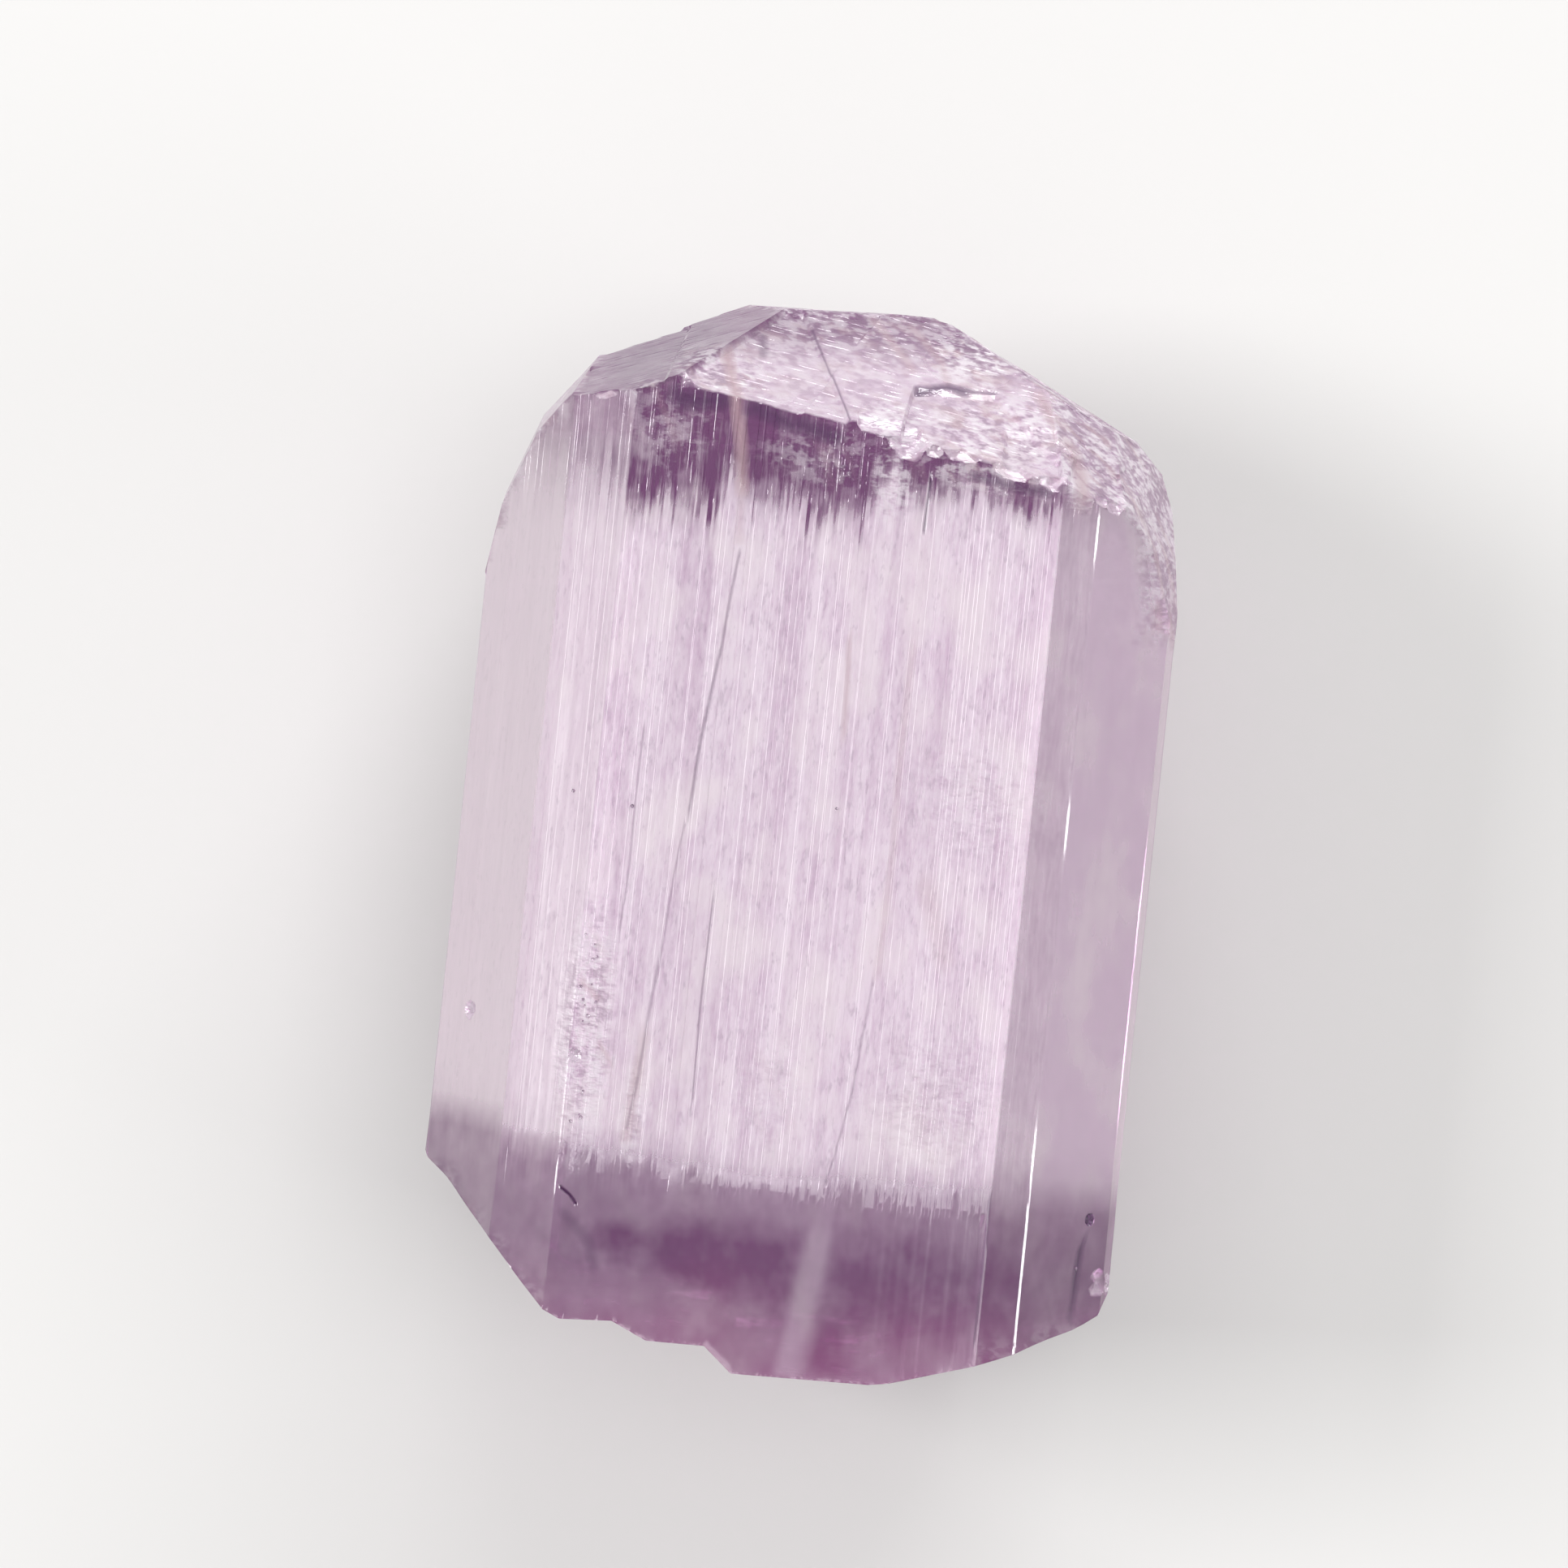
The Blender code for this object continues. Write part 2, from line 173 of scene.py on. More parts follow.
# Small pits, each as its radius, its place on the front walls as (across, along), and how dark the painted
# shade inside it is
PITS = [
    (0.07, (-7.1, 7.42), 0.5),
    (0.05, (-5.25, 12.5), 0.5),
    (0.05, (-3.9, 12.3), 0.5),
    (0.04, (0.6, 12.7), 0.4),
    (0.05, (6.98, 3), 0.6),
]
# The rough patch on the front's left edge: both ends of it, its half width, and how many pits it has
PIT_PATCH = ((-4.42, 9.7), (-4.38, 5.2), 0.18, 16)
PIT_RADII = (0.02, 0.05)
# How dark the painted shade inside these pits is
PIT_SHADE_DARKNESS = (0.1, 0.5)
PIT_SINK = 0.5

# Small chips scattered along worn edges: both ends of the edge, the way out of it, and how many
WORN_EDGES = [
    ((1.1, 20.95, THICKNESS), (4.8, 20.55, THICKNESS), (0, 0.6, 0.8), 2),
    ((5, 20.6, 11.5), (6.4, 20, 10.6), (0.5, 0.5, 0.7), 4),
    ((7.72, 3, 9), (7.72, 1.9, 9), (0.9, 0, 0.4), 2),
]
SMALL_CHIP_RADII = (0.14, 0.42)
SMALL_CHIP_SINK = 0.2
SINK_SPREAD = (0.5, 1.2)
# How uneven the ball of a chip is, and how silky and how etched a chip is inside
CHIP_UNEVENNESS = 0.06
CHIP_SILK = 0.8
CHIP_ETCH = 0.5

# The narrow flats worn along the edges between facets, as the two facets and the flat's width
EDGE_FLATS = [
    ("front left", "front", 0.05),
    ("outer left", "front left", 0.06),
    ("left", "outer left", 0.10),
    ("front", "front bevel", 0.05),
    ("front bevel", "front right", 0.07),
    ("right", "right round", 0.08),
    ("back right", "right", 0.10),
    ("back left", "left", 0.10),
    ("front", "top front", 0.06),
    ("top left", "top front", 0.08),
    ("top front", "top corner", 0.08),
    ("top corner", "front right", 0.08),
]

# Cracks and healed veins of each facet, and painted shade: what fills it, its half width, its depth, how
# strongly it shows, and its points as (across, along) seen from the front
STROKES = {
    "front": [
        ("crack", 0.045, 0.01, 0.4, [(-2.1, 18.2), (-2.2, 17.3), (-2.3, 15.9)]),
        ("crack", 0.05, 0.012, 0.5, [(-2.33, 15.8), (-2.42, 15), (-2.55, 13.8), (-2.63, 12.3)]),
        ("crack", 0.04, 0.01, 0.3, [(-2.7, 12), (-2.78, 11.3), (-2.88, 10), (-2.94, 9)]),
        ("crack", 0.05, 0.01, 0.4, [(-2.97, 8.9), (-3.08, 7.6), (-3.15, 6.4), (-3.3, 5.2)]),
        ("stain", 0.16, 0.01, 0.45, [(-3.12, 7.2), (-3.22, 6), (-3.3, 5)]),
        ("crack", 0.035, 0.01, 0.35, [(-3.82, 14.1), (-3.85, 12.5), (-3.83, 11), (-3.9, 9.6)]),
        ("crack", 0.035, 0.01, 0.45, [(-1.9, 10.5), (-1.95, 8), (-1.9, 6)]),
        ("stain", 0.12, 0.01, 0.3, [(1.92, 16.5), (1.88, 13.4), (1.95, 12), (1.85, 9)]),
        ("crack", 0.04, 0.01, 0.25, [(1.8, 9), (1.6, 6.5), (1.35, 5), (1.2, 4.4)]),
        ("stain", 0.3, 0, 0.3, [(2.75, 11.2), (3.05, 10.4), (3.3, 9.6)]),
        ("stain", 0.09, 0, 0.5, [(0.5, 16.4), (0.55, 15.7), (0.6, 14.2)]),
        ("stain", 0.12, 0, 0.5, [(-4.6, 8.3), (-4.25, 8)]),
        ("stain", 0.1, 0, 0.5, [(-4.1, 7), (-3.8, 6.6)]),
        ("crack", 0.05, 0.03, 0.8, [(1.93, 20.3), (1.9, 19)]),
        # Painted shade: broad dark fill along the pyramid's front edge
        ("crack", 0.32, 0, 0.75, [(-3.8, 21.5), (-2.9, 21.6)]),
        ("crack", 0.28, 0, 0.75, [(-2.1, 21.5), (-1.2, 21.2), (-0.3, 21)]),
        ("crack", 0.18, 0, 0.6, [(2.9, 20.45), (4.5, 20.3)]),
        ("crack", 0.06, 0.05, 0.9, [(-4.62, 3.75), (-4.4, 3.6), (-4.25, 3.42)]),
        ("crack", 0.16, 0, 0.3, [(-4.5, 3.2), (-3.9, 2.6), (-3.7, 1.9)]),
        ("crack", 0.035, 0, 0.5, [(4.86, 4.6), (4.84, 1.2)]),
        ("stain", 0.2, 0.008, 0.8, [(-2.55, 21.75), (-2.3, 20.5), (-2.2, 19.5)]),
        ("stain", 0.15, 0.004, 0.35, [(-2.2, 19.5), (-2.15, 18.4)]),
    ],
    "top front": [
        ("stain", 0.2, 0.012, 0.8, [(-2.95, 23.4), (-2.9, 22.8), (-2.5, 21.7)]),
        ("crack", 0.035, 0.03, 0.6, [(-1, 23.4), (-0.5, 22.4), (0.1, 21.2)]),
        ("stain", 0.14, 0.01, 0.5, [(0.35, 23.8), (0.85, 23.2), (1.3, 22.7)]),
        ("stain", 0.14, 0.01, 0.45, [(1.2, 23.7), (1.9, 23), (2.1, 22.5)]),
        # Painted shadow: dark fill under the ledges' steps
        ("crack", 0.09, 0.05, 0.85, [(1.45, 22.25), (2.1, 22.38), (2.5, 22.33)]),
        ("crack", 0.045, 0.05, 0.6, [(2.5, 22.33), (3.2, 22.36)]),
        ("crack", 0.07, 0.05, 0.7, [(0.2, 21.15), (0.9, 21.22), (1.6, 21.1)]),
        ("crack", 0.14, 0, 0.5, [(-2.1, 23.2), (-2.05, 22.85)]),
        ("stain", 0.2, 0.02, 0.7, [(4.2, 22.4), (4.7, 21.6), (5.1, 21)]),
    ],
    "top corner": [
        ("stain", 0.22, 0.02, 0.7, [(4.9, 21.3), (5.25, 20.8), (5.4, 20)]),
    ],
    "front right": [
        ("crack", 0.12, 0.02, 0.75, [(7.02, 3.4), (6.95, 1.9)]),
    ],
    "top left": [
        # A broad darker band across the facet, set with the crack fill
        ("crack", 0.7, 0, 0.4, [(-4.9, 22.2), (-3.5, 23.1)]),
    ],
}

# The growth strips of the walls: how their widths vary, and how a strip is set
WIDTH_SPREAD = (-0.2, 0.55)
STRIP_GAP = 0.005
EDGE_ROOM = 0.05
STRIP_SINK = 0.005
WALL_WAVE = 0.03

# The lines that the mesh is scored with: rows across the front as (start, end, step) along it, rows across
# the other walls, and the grids of both ends
FRONT_ROWS = [(0.0, 5.2, 0.16), (5.2, 17.6, 0.4), (17.6, 22.4, 0.13)]
WALL_ROW = 0.8
PYRAMID_GRIDS = {
    "top front": 0.17, "top corner": 0.17, "top crest": 0.2, "top left": 0.3, "top right": 0.3,
}
OTHER_PYRAMID_GRID = 0.45
TREAD_SPACING = 0.21
TREAD_GAP = 0.012
FRACTURE_GRID = 0.28
# How near a wall's ends it has no row, how far past its ends a stroke is scored, and how near a facet's plane
# a face on it lies
ROW_ROOM = 0.02
STROKE_ROOM = 0.2
ON_PLANE = 2e-4

# How deep the wear of each end reaches down the walls, and the ragged front edge of the pyramid
PYRAMID_FADE = 1.6
FRACTURE_FADE = 2.6
FRAY = 0.02
FRAY_REACH = 0.5
# How much of a wall's own wear is left on its edge with an end
WEAR_AT_END = 0.3

# How silky the walls are along the crystal, from 0 where it is clear violet to 1, and how far that is moved
# along at each place across, at the broken end and at the pyramid. The silk's pale colour is partly painted
# sheen.
SILK_BELOW = [
    (0, 0.16), (1.1, 0.2), (1.9, 0.16), (3, 0.2), (3.6, 0.28), (4.3, 0.36), (4.75, 0.85), (5.2, 1),
]
RISE_BELOW = [
    (-7.8, 0.5), (-5.5, 0.25), (-4, 0.1), (-2, 0), (0.4, -0.2), (1.6, 0), (4.8, 0.1), (7.8, 0.3),
]
SILK_ABOVE = [(-0.6, 1), (-0.15, 0.75), (0.1, 0.3), (0.5, 0.08), (1.2, 0)]
DARK_FROM = [
    (-7.8, 20.2), (-6, 20), (-4.8, 19.7), (-4.6, 18.9), (-3.6, 18.9), (-2.7, 19.1), (-2.35, 19.7),
    (-1.9, 19.3), (-0.6, 19.1), (0.3, 19.1), (0.7, 19.4), (0.95, 20.4), (1.15, 20.7), (1.3, 19.8),
    (1.95, 19.7), (2.3, 19.95), (3.3, 20), (3.6, 19.8), (4.7, 19.8), (5.2, 20.6), (7.8, 20.6),
]
# How ragged both ends of the silk are: how far a strip's own share and slow waves across it move them
RAGGED_BELOW = (0.02, 0.12)
RAGGED_ABOVE = (0.22, 0.2)
# The darkest places near the broken end, as the middle and the half sizes of each, and the pale vein
# between them
DEEPEST = [
    ((-0.9, 2.5), (2.1, 0.85)),
    ((3.3, 2.3), (1.9, 1.3)),
    ((1.6, 0.7), (0.5, 0.7)),
    ((-3.2, 2.7), (0.7, 0.4)),
]
DEEPEST_DROP = 0.2
VEIN = [(1.75, 6), (1.45, 5), (1.25, 3.6), (1.1, 2.4), (0.95, 1.4), (0.7, -0.4)]
VEIN_HALF_WIDTH = 0.55
VEIN_SILK = 0.4
# How gradually the silk ends below the pyramid on the walls beside the front, as a share of the front's way
SOFT_ABOVE = 0.4
# How pink the clear violet is along the crystal, and how far slow waves move that
BLUSH_WAVE = 0.5
BLUSH = [(0, 1), (0.8, 0.8), (1.6, 0.35), (2.4, 0)]
# The walls: their strips' mean width (the front's is a setting), how silky and how hazy they are, how much
# streaks show, and how silky they stay where the front is clear, at the broken end and at the pyramid. The
# silk is partly painted sheen; the haze is painted sheen on the left walls and bevel, and a painted highlight
# along the right round edge.
Wall = namedtuple("Wall", "strips silk haze grain clearest")
WALLS = {
    "front": Wall(None, 1, 0, 1, (0, 0)),
    "front left": Wall(0.09, 0.95, 0.45, 0.8, (0.3, 0.52)),
    "outer left": Wall(0.3, 0.95, 0.9, 0.3, (0.35, 0.42)),
    "front bevel": Wall(0.12, 0.75, 0.3, 0.5, (0.1, 0.3)),
    "front right": Wall(0.9, 0.86, 0, 0.1, (0.2, 0.45)),
    "right round": Wall(0.9, 0.95, 0.9, 0.1, (0.3, 0.5)),
}
OTHER_WALL = Wall(0.3, 0.65, 0, 0.15, (0.15, 0.35))
# How the streaks fade towards both ends
GRAIN_ALONG = [(3.7, 0.02), (4.2, 0.3), (4.5, 0.8), (5.2, 1), (20, 1), (20.9, 0.6)]
# The ends: how silky each facet is, and how strongly it is etched; the etch also sets where painted glints
# and painted shade flecks show, and the silk is partly painted sheen
End = namedtuple("End", "silk etch")
ENDS = {
    "top front": End(0.85, 0.45),
    "top left": End(0.02, 0.12),
    "top corner": End(0.55, 0.9),
    "top crest": End(0.1, 0.6),
    "top right": End(0.45, 0.8),
    "front shoulder 1": End(0.5, 0.9),
    "front shoulder 2": End(0.5, 0.9),
    "front shoulder 3": End(0.5, 0.8),
    **dict.fromkeys(FRACTURE, End(0.1, 0.2)),
}
OTHER_END = End(0.5, 0.5)
TOP_SILK_ALONG = [(22.6, 1), (23.4, 0.2)]
# The most strongly etched patches, as the middle and the half sizes of each, seen from the front, and how far
# up they begin. They show the most painted glints.
GLITTER_ABOVE = 5
GLITTER = [
    ((3.3, 21.5), (1.9, 0.95)),
    ((-2.9, 22.25), (1.1, 0.5)),
    ((-4.3, 21.5), (0.7, 0.35)),
    ((2.6, 23), (1.2, 0.7)),
    ((0.9, 21.5), (0.8, 0.4)),
]
# Rough patches on the walls, in the same way, with how rough each is; they also carry painted glints and
# painted shade flecks
ROUGH_PATCHES = [
    ((-4.4, 7.4), (0.6, 2.6), 0.75),
    ((-3.2, 5.6), (0.25, 1.1), 0.5),
    ((3.6, 13.2), (1.5, 1.3), 0.3),
    ((3.4, 6.5), (1.5, 1.6), 0.3),
    ((-0.2, 6.4), (0.7, 1.2), 0.25),
    ((-3.9, 20.9), (0.9, 1), 0.3),
    ((-0.4, 20.5), (1.4, 0.7), 0.35),
    ((3.2, 20.5), (1.9, 0.4), 0.6),
    ((1.1, 20.2), (0.5, 1), 0.7),
]
MASKS = ("silk", "blush", "stain", "crack", "grain", "etch", "mist")

SEED = 11
# The widest angle between two faces that is shaded smooth, in degrees
SMOOTH_ANGLE = 6


def point(across, along, up):
    """A place on the crystal, from millimetres along it from its broken end."""
    return Vector((across, along - LENGTH / 2, up))


def facet_planes():
    """Each facet's place and outward normal, in the order in which they are cut."""
    planes = {}
    corners = list(SECTION.values())
    for name, (x0, z0), (x1, z1) in zip(SECTION, corners, corners[1:] + corners[:1]):
        planes[name] = point(x0, 0, z0), Vector((z1 - z0, 0, x0 - x1)).normalized()
    for facets, way in (({**PYRAMID, **SHOULDERS}, 1), (FRACTURE, -1)):
        for name, (place, (across, up)) in facets.items():
            planes[name] = point(*place), Vector((across, way, up)).normalized()
    return planes


PLANES = facet_planes()


def edge_flat(one, other, width):
    """The plane of a narrow flat that cuts the edge between two facets."""
    (place_a, normal_a), (place_b, normal_b) = PLANES[one], PLANES[other]
    normal = (normal_a + normal_b).normalized()
    half_turn = normal_a.angle(normal_b) / 2
    rows = np.array([normal_a, normal_b])
    start = (place_a + place_b) / 2
    short = np.array([(place_a - start).dot(normal_a), (place_b - start).dot(normal_b)])
    on_edge = start + Vector(np.linalg.lstsq(rows, short, rcond=None)[0])
    return on_edge - normal * (width / 2 * math.tan(half_turn)), normal


def deselect_all():
    bpy.ops.object.select_all(action="DESELECT")


def switch(mode):
    bpy.ops.object.mode_set(mode=mode)


def bisect(place, normal, **how):
    """Cuts what is selected along a plane."""
    bpy.ops.mesh.bisect(plane_co=place, plane_no=normal, threshold=1e-6, **how)


def cut_block():
    """The block that the crystal is cut from, with every facet and edge flat cut and closed."""
    deselect_all()
    bpy.ops.mesh.primitive_cube_add(size=4 * LENGTH)
    crystal = bpy.context.object
    crystal.name = crystal.data.name = "scapolite_crystal"
    switch("EDIT")
    for place, normal in [*PLANES.values(), *(edge_flat(*flat) for flat in EDGE_FLATS)]:
        bpy.ops.mesh.select_all(action="SELECT")
        bisect(place, normal, use_fill=True, clear_outer=True)
    switch("OBJECT")
    return crystal


def ball_centre(radius, depth, place, out):
    return point(*place) + Vector(out).normalized() * (radius - depth)


def bite(crystal, radius, depth, place, out, seed):
    """Takes one chip out of the crystal with a slightly uneven ball."""
    deselect_all()
    centre = ball_centre(radius, depth, place, out)
    bpy.ops.mesh.primitive_ico_sphere_add(subdivisions=3, radius=radius, location=centre)
    ball = bpy.context.object
    switch("EDIT")
    bpy.ops.transform.vertex_random(offset=CHIP_UNEVENNESS * radius, uniform=1.0, seed=seed)
    switch("OBJECT")
    chip = crystal.modifiers.new("Chip", "BOOLEAN")
    chip.operation = "DIFFERENCE"
    chip.solver = "EXACT"
    chip.object = ball
    bpy.context.view_layer.objects.active = crystal
    bpy.ops.object.modifier_apply(modifier=chip.name)
    bpy.data.objects.remove(ball, do_unlink=True)


def front_place(across, along):
    """The place on the walls seen from the front, with the way out of the wall there."""
    for name in ("front", "front bevel", "front left", "front right", "outer left"):
        place, normal = PLANES[name]
        up = place.z - (across - place.x) * normal.x / normal.z
        inside = all((point(across, along, up) - co).dot(n) < 1e-4 for co, n in PLANES.values())
        if inside:
            return (across, along, up), normal
    raise RuntimeError(f"no front wall at {across} across and {along} along")


def all_chips(draw):
    """Every chip as its ball's radius, its depth, its place, the way out, and how dark the painted shade
    inside it is.
    """
    chips = [(*chip, 0.0)[:5] for chip in CHIPS]
    for start, end, out, count in WORN_EDGES:
        for k in range(count):
            place = Vector(start).lerp(Vector(end), (k + draw.uniform(0.1, 0.9)) / count)
            radius = draw.uniform(*SMALL_CHIP_RADII)
            chips.append((radius, radius * SMALL_CHIP_SINK * draw.uniform(*SINK_SPREAD), place, out, 0.0))
    pits = list(PITS)
    (x0, v0), (x1, v1), half, count = PIT_PATCH
    for k in range(count):
        share = draw.uniform(0, 1)
        place = x0 + (x1 - x0) * share + draw.gauss(0, half), v0 + (v1 - v0) * share
        pits.append((draw.uniform(*PIT_RADII), place, draw.uniform(*PIT_SHADE_DARKNESS)))
    for radius, place, inner_shade in pits:
        co, out = front_place(*place)
        chips.append((radius, radius * PIT_SINK, co, out, inner_shade))
    return chips


class Striae:
    """The growth strips of one wall, side by side across it. Each leans by its own angle."""

    def __init__(self, low, high, width, draw):
        self.borders = [low + EDGE_ROOM]
        while self.borders[-1] + 2 * width < high - EDGE_ROOM:
            self.borders.append(self.borders[-1] + width * math.exp(draw.gauss(*WIDTH_SPREAD)))
        self.borders.append(high - EDGE_ROOM)
        edges = np.array([low, *self.borders, high])
        self.centres = (edges[:-1] + edges[1:]) / 2
        count = len(self.centres)
        self.lean = np.array([draw.gauss(0, 1) for _ in range(count)])
        self.shift = np.array([draw.gauss(0, 1) for _ in range(count)])
        self.sink = np.array([draw.uniform(0, 1) for _ in range(count)])

    def lines(self):
        """Both lines of each border between two strips."""
        return [border + side for border in self.borders for side in (-STRIP_GAP, STRIP_GAP)]


def across_of(name):
    """The way across one wall, square to the crystal's length."""
    return Vector((0, 1, 0)).cross(PLANES[name][1])


def select_facet(crystal, name, wanted=None):
    """In edit mode, selects the wanted faces of one facet and hides the rest. Returns their points."""
    place, normal = PLANES[name]
    mesh = bmesh.from_edit_mesh(crystal.data)
    for face in mesh.faces:
        centre = face.calc_center_median()
        on = abs((centre - place).dot(normal)) < ON_PLANE and face.normal.dot(normal) > 0.9999
        face.select_set(on and (wanted is None or wanted(centre)))
    bmesh.update_edit_mesh(crystal.data)
    reach = [vert.co.copy() for vert in mesh.verts if vert.select]
    bpy.ops.mesh.hide(unselected=True)
    return reach


def score(lines):
    """Draws lines on the shown faces, each where a plane meets them, and shows the rest again."""
    for place, normal in lines:
        bpy.ops.mesh.select_all(action="SELECT")
        bisect(place, normal)
    bpy.ops.mesh.reveal(select=False)


def spaced(low, high, step):
    """Places between two ends, at about one step from each other."""
    count = max(1, round((high - low) / step))
    return [low + (high - low) * k / count for k in range(1, count)]


def sides(outline):
    """The lines of a ledge, each as a place on it and the way from it towards the lowered part."""
    for (x0, v0), (x1, v1) in zip(outline, outline[1:]):
        yield point(x0, v0, 0), Vector((v0 - v1, x1 - x0, 0)).normalized()


def end_lines(name, reach):
    """The lines that one end facet is scored with: a grid, treads, and the slopes of its ledges."""
    x_axis, z_axis = Vector((1, 0, 0)), Vector((0, 0, 1))
    xs = [co.x for co in reach]
    zs = [co.z for co in reach]
    step = PYRAMID_GRIDS.get(name, OTHER_PYRAMID_GRID) if name in PYRAMID else FRACTURE_GRID
    lines = [(x_axis * place, x_axis) for place in spaced(min(xs), max(xs), step)]
    if name in PYRAMID:
        treads = np.arange(THICKNESS, min(zs), -TREAD_SPACING)
        lines += [(z_axis * (up + side), z_axis) for up in treads for side in (0, -TREAD_GAP)]
    else:
        lines += [(z_axis * place, z_axis) for place in spaced(min(zs), max(zs), step)]
    for facet, _, outline in LEDGES:
        if facet == name:
            for place, inward in sides(outline):
                lines += [(place, inward), (place + inward * RISER, inward)]
    if name in NOTCHED:
        lines += [(x_axis * across, x_axis) for across, _ in NOTCH]
    return lines


def row_lines(name, reach):
    """The lines across one wall."""
    low, high = min(co.y for co in reach), max(co.y for co in reach)
    if name == "front":
        rows = [v - LENGTH / 2 for start, end, step in FRONT_ROWS for v in np.arange(start, end, step)]
    else:
        rows = spaced(low, high, WALL_ROW)
    rows = [row for row in rows if low + ROW_ROOM < row < high - ROW_ROOM]
    return [(Vector((0, row, 0)), Vector((0, 1, 0))) for row in rows]


def score_stroke(crystal, facet, half_width, points):
    """Draws the middle and both sides of a stroke on the faces close to it."""
    for (x0, v0), (x1, v1) in zip(points, points[1:]):
        start, end = point(x0, v0, 0), point(x1, v1, 0)
        along = end - start
        length = along.length
        along.normalize()
        side = Vector((-along.y, along.x, 0))

        def close(co):
            reach = Vector((co.x - start.x, co.y - start.y, 0))
            beside = abs(reach.dot(side)) < 3 * half_width + STROKE_ROOM / 2
            return beside and -STROKE_ROOM < reach.dot(along) < length + STROKE_ROOM

        select_facet(crystal, facet, close)
        score([(start + side * half_width * share, side) for share in (-1, 0, 1)])


def score_crystal(crystal, strip_width, draw):
    """Scores every facet. Returns the strips of each wall."""
    striae = {}
    switch("EDIT")
    bpy.ops.mesh.select_mode(type="FACE")
    walls = list(SECTION)[1:]
    for name in walls:
        across = across_of(name)
        places = [co.dot(across) for co in select_facet(crystal, name)]
        width = strip_width if name == "front" else WALLS.get(name, OTHER_WALL).strips
        striae[name] = Striae(min(places), max(places), width, draw)
        score([(across * line, across) for line in striae[name].lines()])
    for name in [*PYRAMID, *FRACTURE]:
        score(end_lines(name, select_facet(crystal, name)))
    for name in walls:
        score(row_lines(name, select_facet(crystal, name)))
    for facet, strokes in STROKES.items():
        for _, half_width, _, _, points in strokes:
            score_stroke(crystal, facet, half_width, points)
    bpy.ops.mesh.select_all(action="SELECT")
    bpy.ops.mesh.quads_convert_to_tris(quad_method="BEAUTY", ngon_method="BEAUTY")
    switch("OBJECT")
    return striae


def wavy(co, scale, shift=(0, 0, 0)):
    """Smooth noise from -1 to 1 at each point, stretched by a scale for each axis."""
    return np.array([noise.noise(Vector(place)) for place in co * np.array(scale) + np.array(shift)])


def table(pairs, values):
    """Straight-line values between the pairs of a table."""
    return np.interp(values, *zip(*pairs))


def distance(co, points):
    """The distance from each point to a line of (across, along) points, as seen from the front."""
    least = np.full(len(co), np.inf)
    for (x0, v0), (x1, v1) in zip(points, points[1:]):
        start = np.array([x0, v0 - LENGTH / 2])
        line = np.array([x1 - x0, v1 - v0])
        share = np.clip((co[:, :2] - start) @ line / (line @ line), 0, 1)
        least = np.minimum(least, np.linalg.norm(co[:, :2] - start - share[:, None] * line, axis=1))
    return least


def in_patches(co, patches):
    """How far inside the patches each point is: 1 in a patch's inner half and 0 a third past its edge."""
    share = np.zeros(len(co))
    for (across, along), (half_width, half_height) in patches:
        far = np.hypot((co[:, 0] - across) / half_width, (co[:, 1] + LENGTH / 2 - along) / half_height)
        share = np.maximum(share, np.clip(1.6 - 1.2 * far, 0, 1))
    return share


def silk_share(co, shift, slow, clearest, sharp):
    """How silky a wall is at each point, from 0 where it is clear violet to 1: pale silk that is partly
    painted sheen.
    """
    across, along = co[:, 0], co[:, 1] + LENGTH / 2
    by_strip, by_wave = RAGGED_BELOW
    below = table(SILK_BELOW, along - table(RISE_BELOW, across) + by_strip * shift + by_wave * slow)
    below -= DEEPEST_DROP * in_patches(co, DEEPEST)
    by_strip, by_wave = RAGGED_ABOVE
    above = table(SILK_ABOVE, sharp * (along - table(DARK_FROM, across) + by_strip * shift + by_wave * slow))
    vein = np.clip(1.4 - 1.4 * distance(co, VEIN) / VEIN_HALF_WIDTH, 0, 1)
    below = np.maximum(below, np.maximum(vein * VEIN_SILK, clearest[0]))
    return np.minimum(below, np.maximum(above, clearest[1]))


def stroke_depth(co, name, masks, verts):
    """How deep the strokes on one facet sink its points. They also leave their marks on the masks."""
    depth = np.zeros(len(co))
    for fill, half_width, deepest, strength, points in STROKES.get(name, ()):
        share = np.clip(1 - distance(co, points) / half_width, 0, 1)
        depth = np.maximum(depth, deepest * share)
        masks[fill][verts] = np.maximum(masks[fill][verts], strength * np.sqrt(share))
    return depth


def wall_depth(co, name, striae, settings):
    """How deep each point of one wall sinks, each strip leaning by its own angle, and how silky it is."""
    wall = WALLS.get(name, OTHER_WALL)
    across = np.array(across_of(name))
    place, along = co @ across, co[:, 1]
    strip = np.searchsorted(striae.borders, place)
    flat = place * 0
    slow = wavy(np.column_stack([place, along, flat]), (0.9, 0.12, 1), (0, 0, 7.1 * len(name)))
    middle = striae.centres[strip]
    quick = wavy(np.column_stack([middle, along, flat]), (9, 0.5, 1), (0, 3, 5.3 * len(name)))
    sharp = 1 if name == "front" else SOFT_ABOVE
    silk = silk_share(co, striae.shift[strip], slow, wall.clearest, sharp)
    fade = table(GRAIN_ALONG, along + LENGTH / 2)
    uneven = wall.grain * fade
    spread = uneven * (striae.lean[strip] + 0.6 * slow + 0.5 * quick)
    silky = settings.silky_lean * (name == "front") + settings.silky_spread * spread
    clear = (settings.clear_lean + settings.clear_spread * uneven * striae.lean[strip]) * (along > 0)
    lean = silky * silk + clear * (1 - silk)
    offset = (place - middle) * np.tan(lean) * np.clip(4 * uneven, 0, 1)
    wave = WALL_WAVE * (0.5 + 0.5 * slow) * fade
    depth = 0.01 + offset + STRIP_SINK * uneven * striae.sink[strip] + wave
    return np.maximum(depth, 0), silk


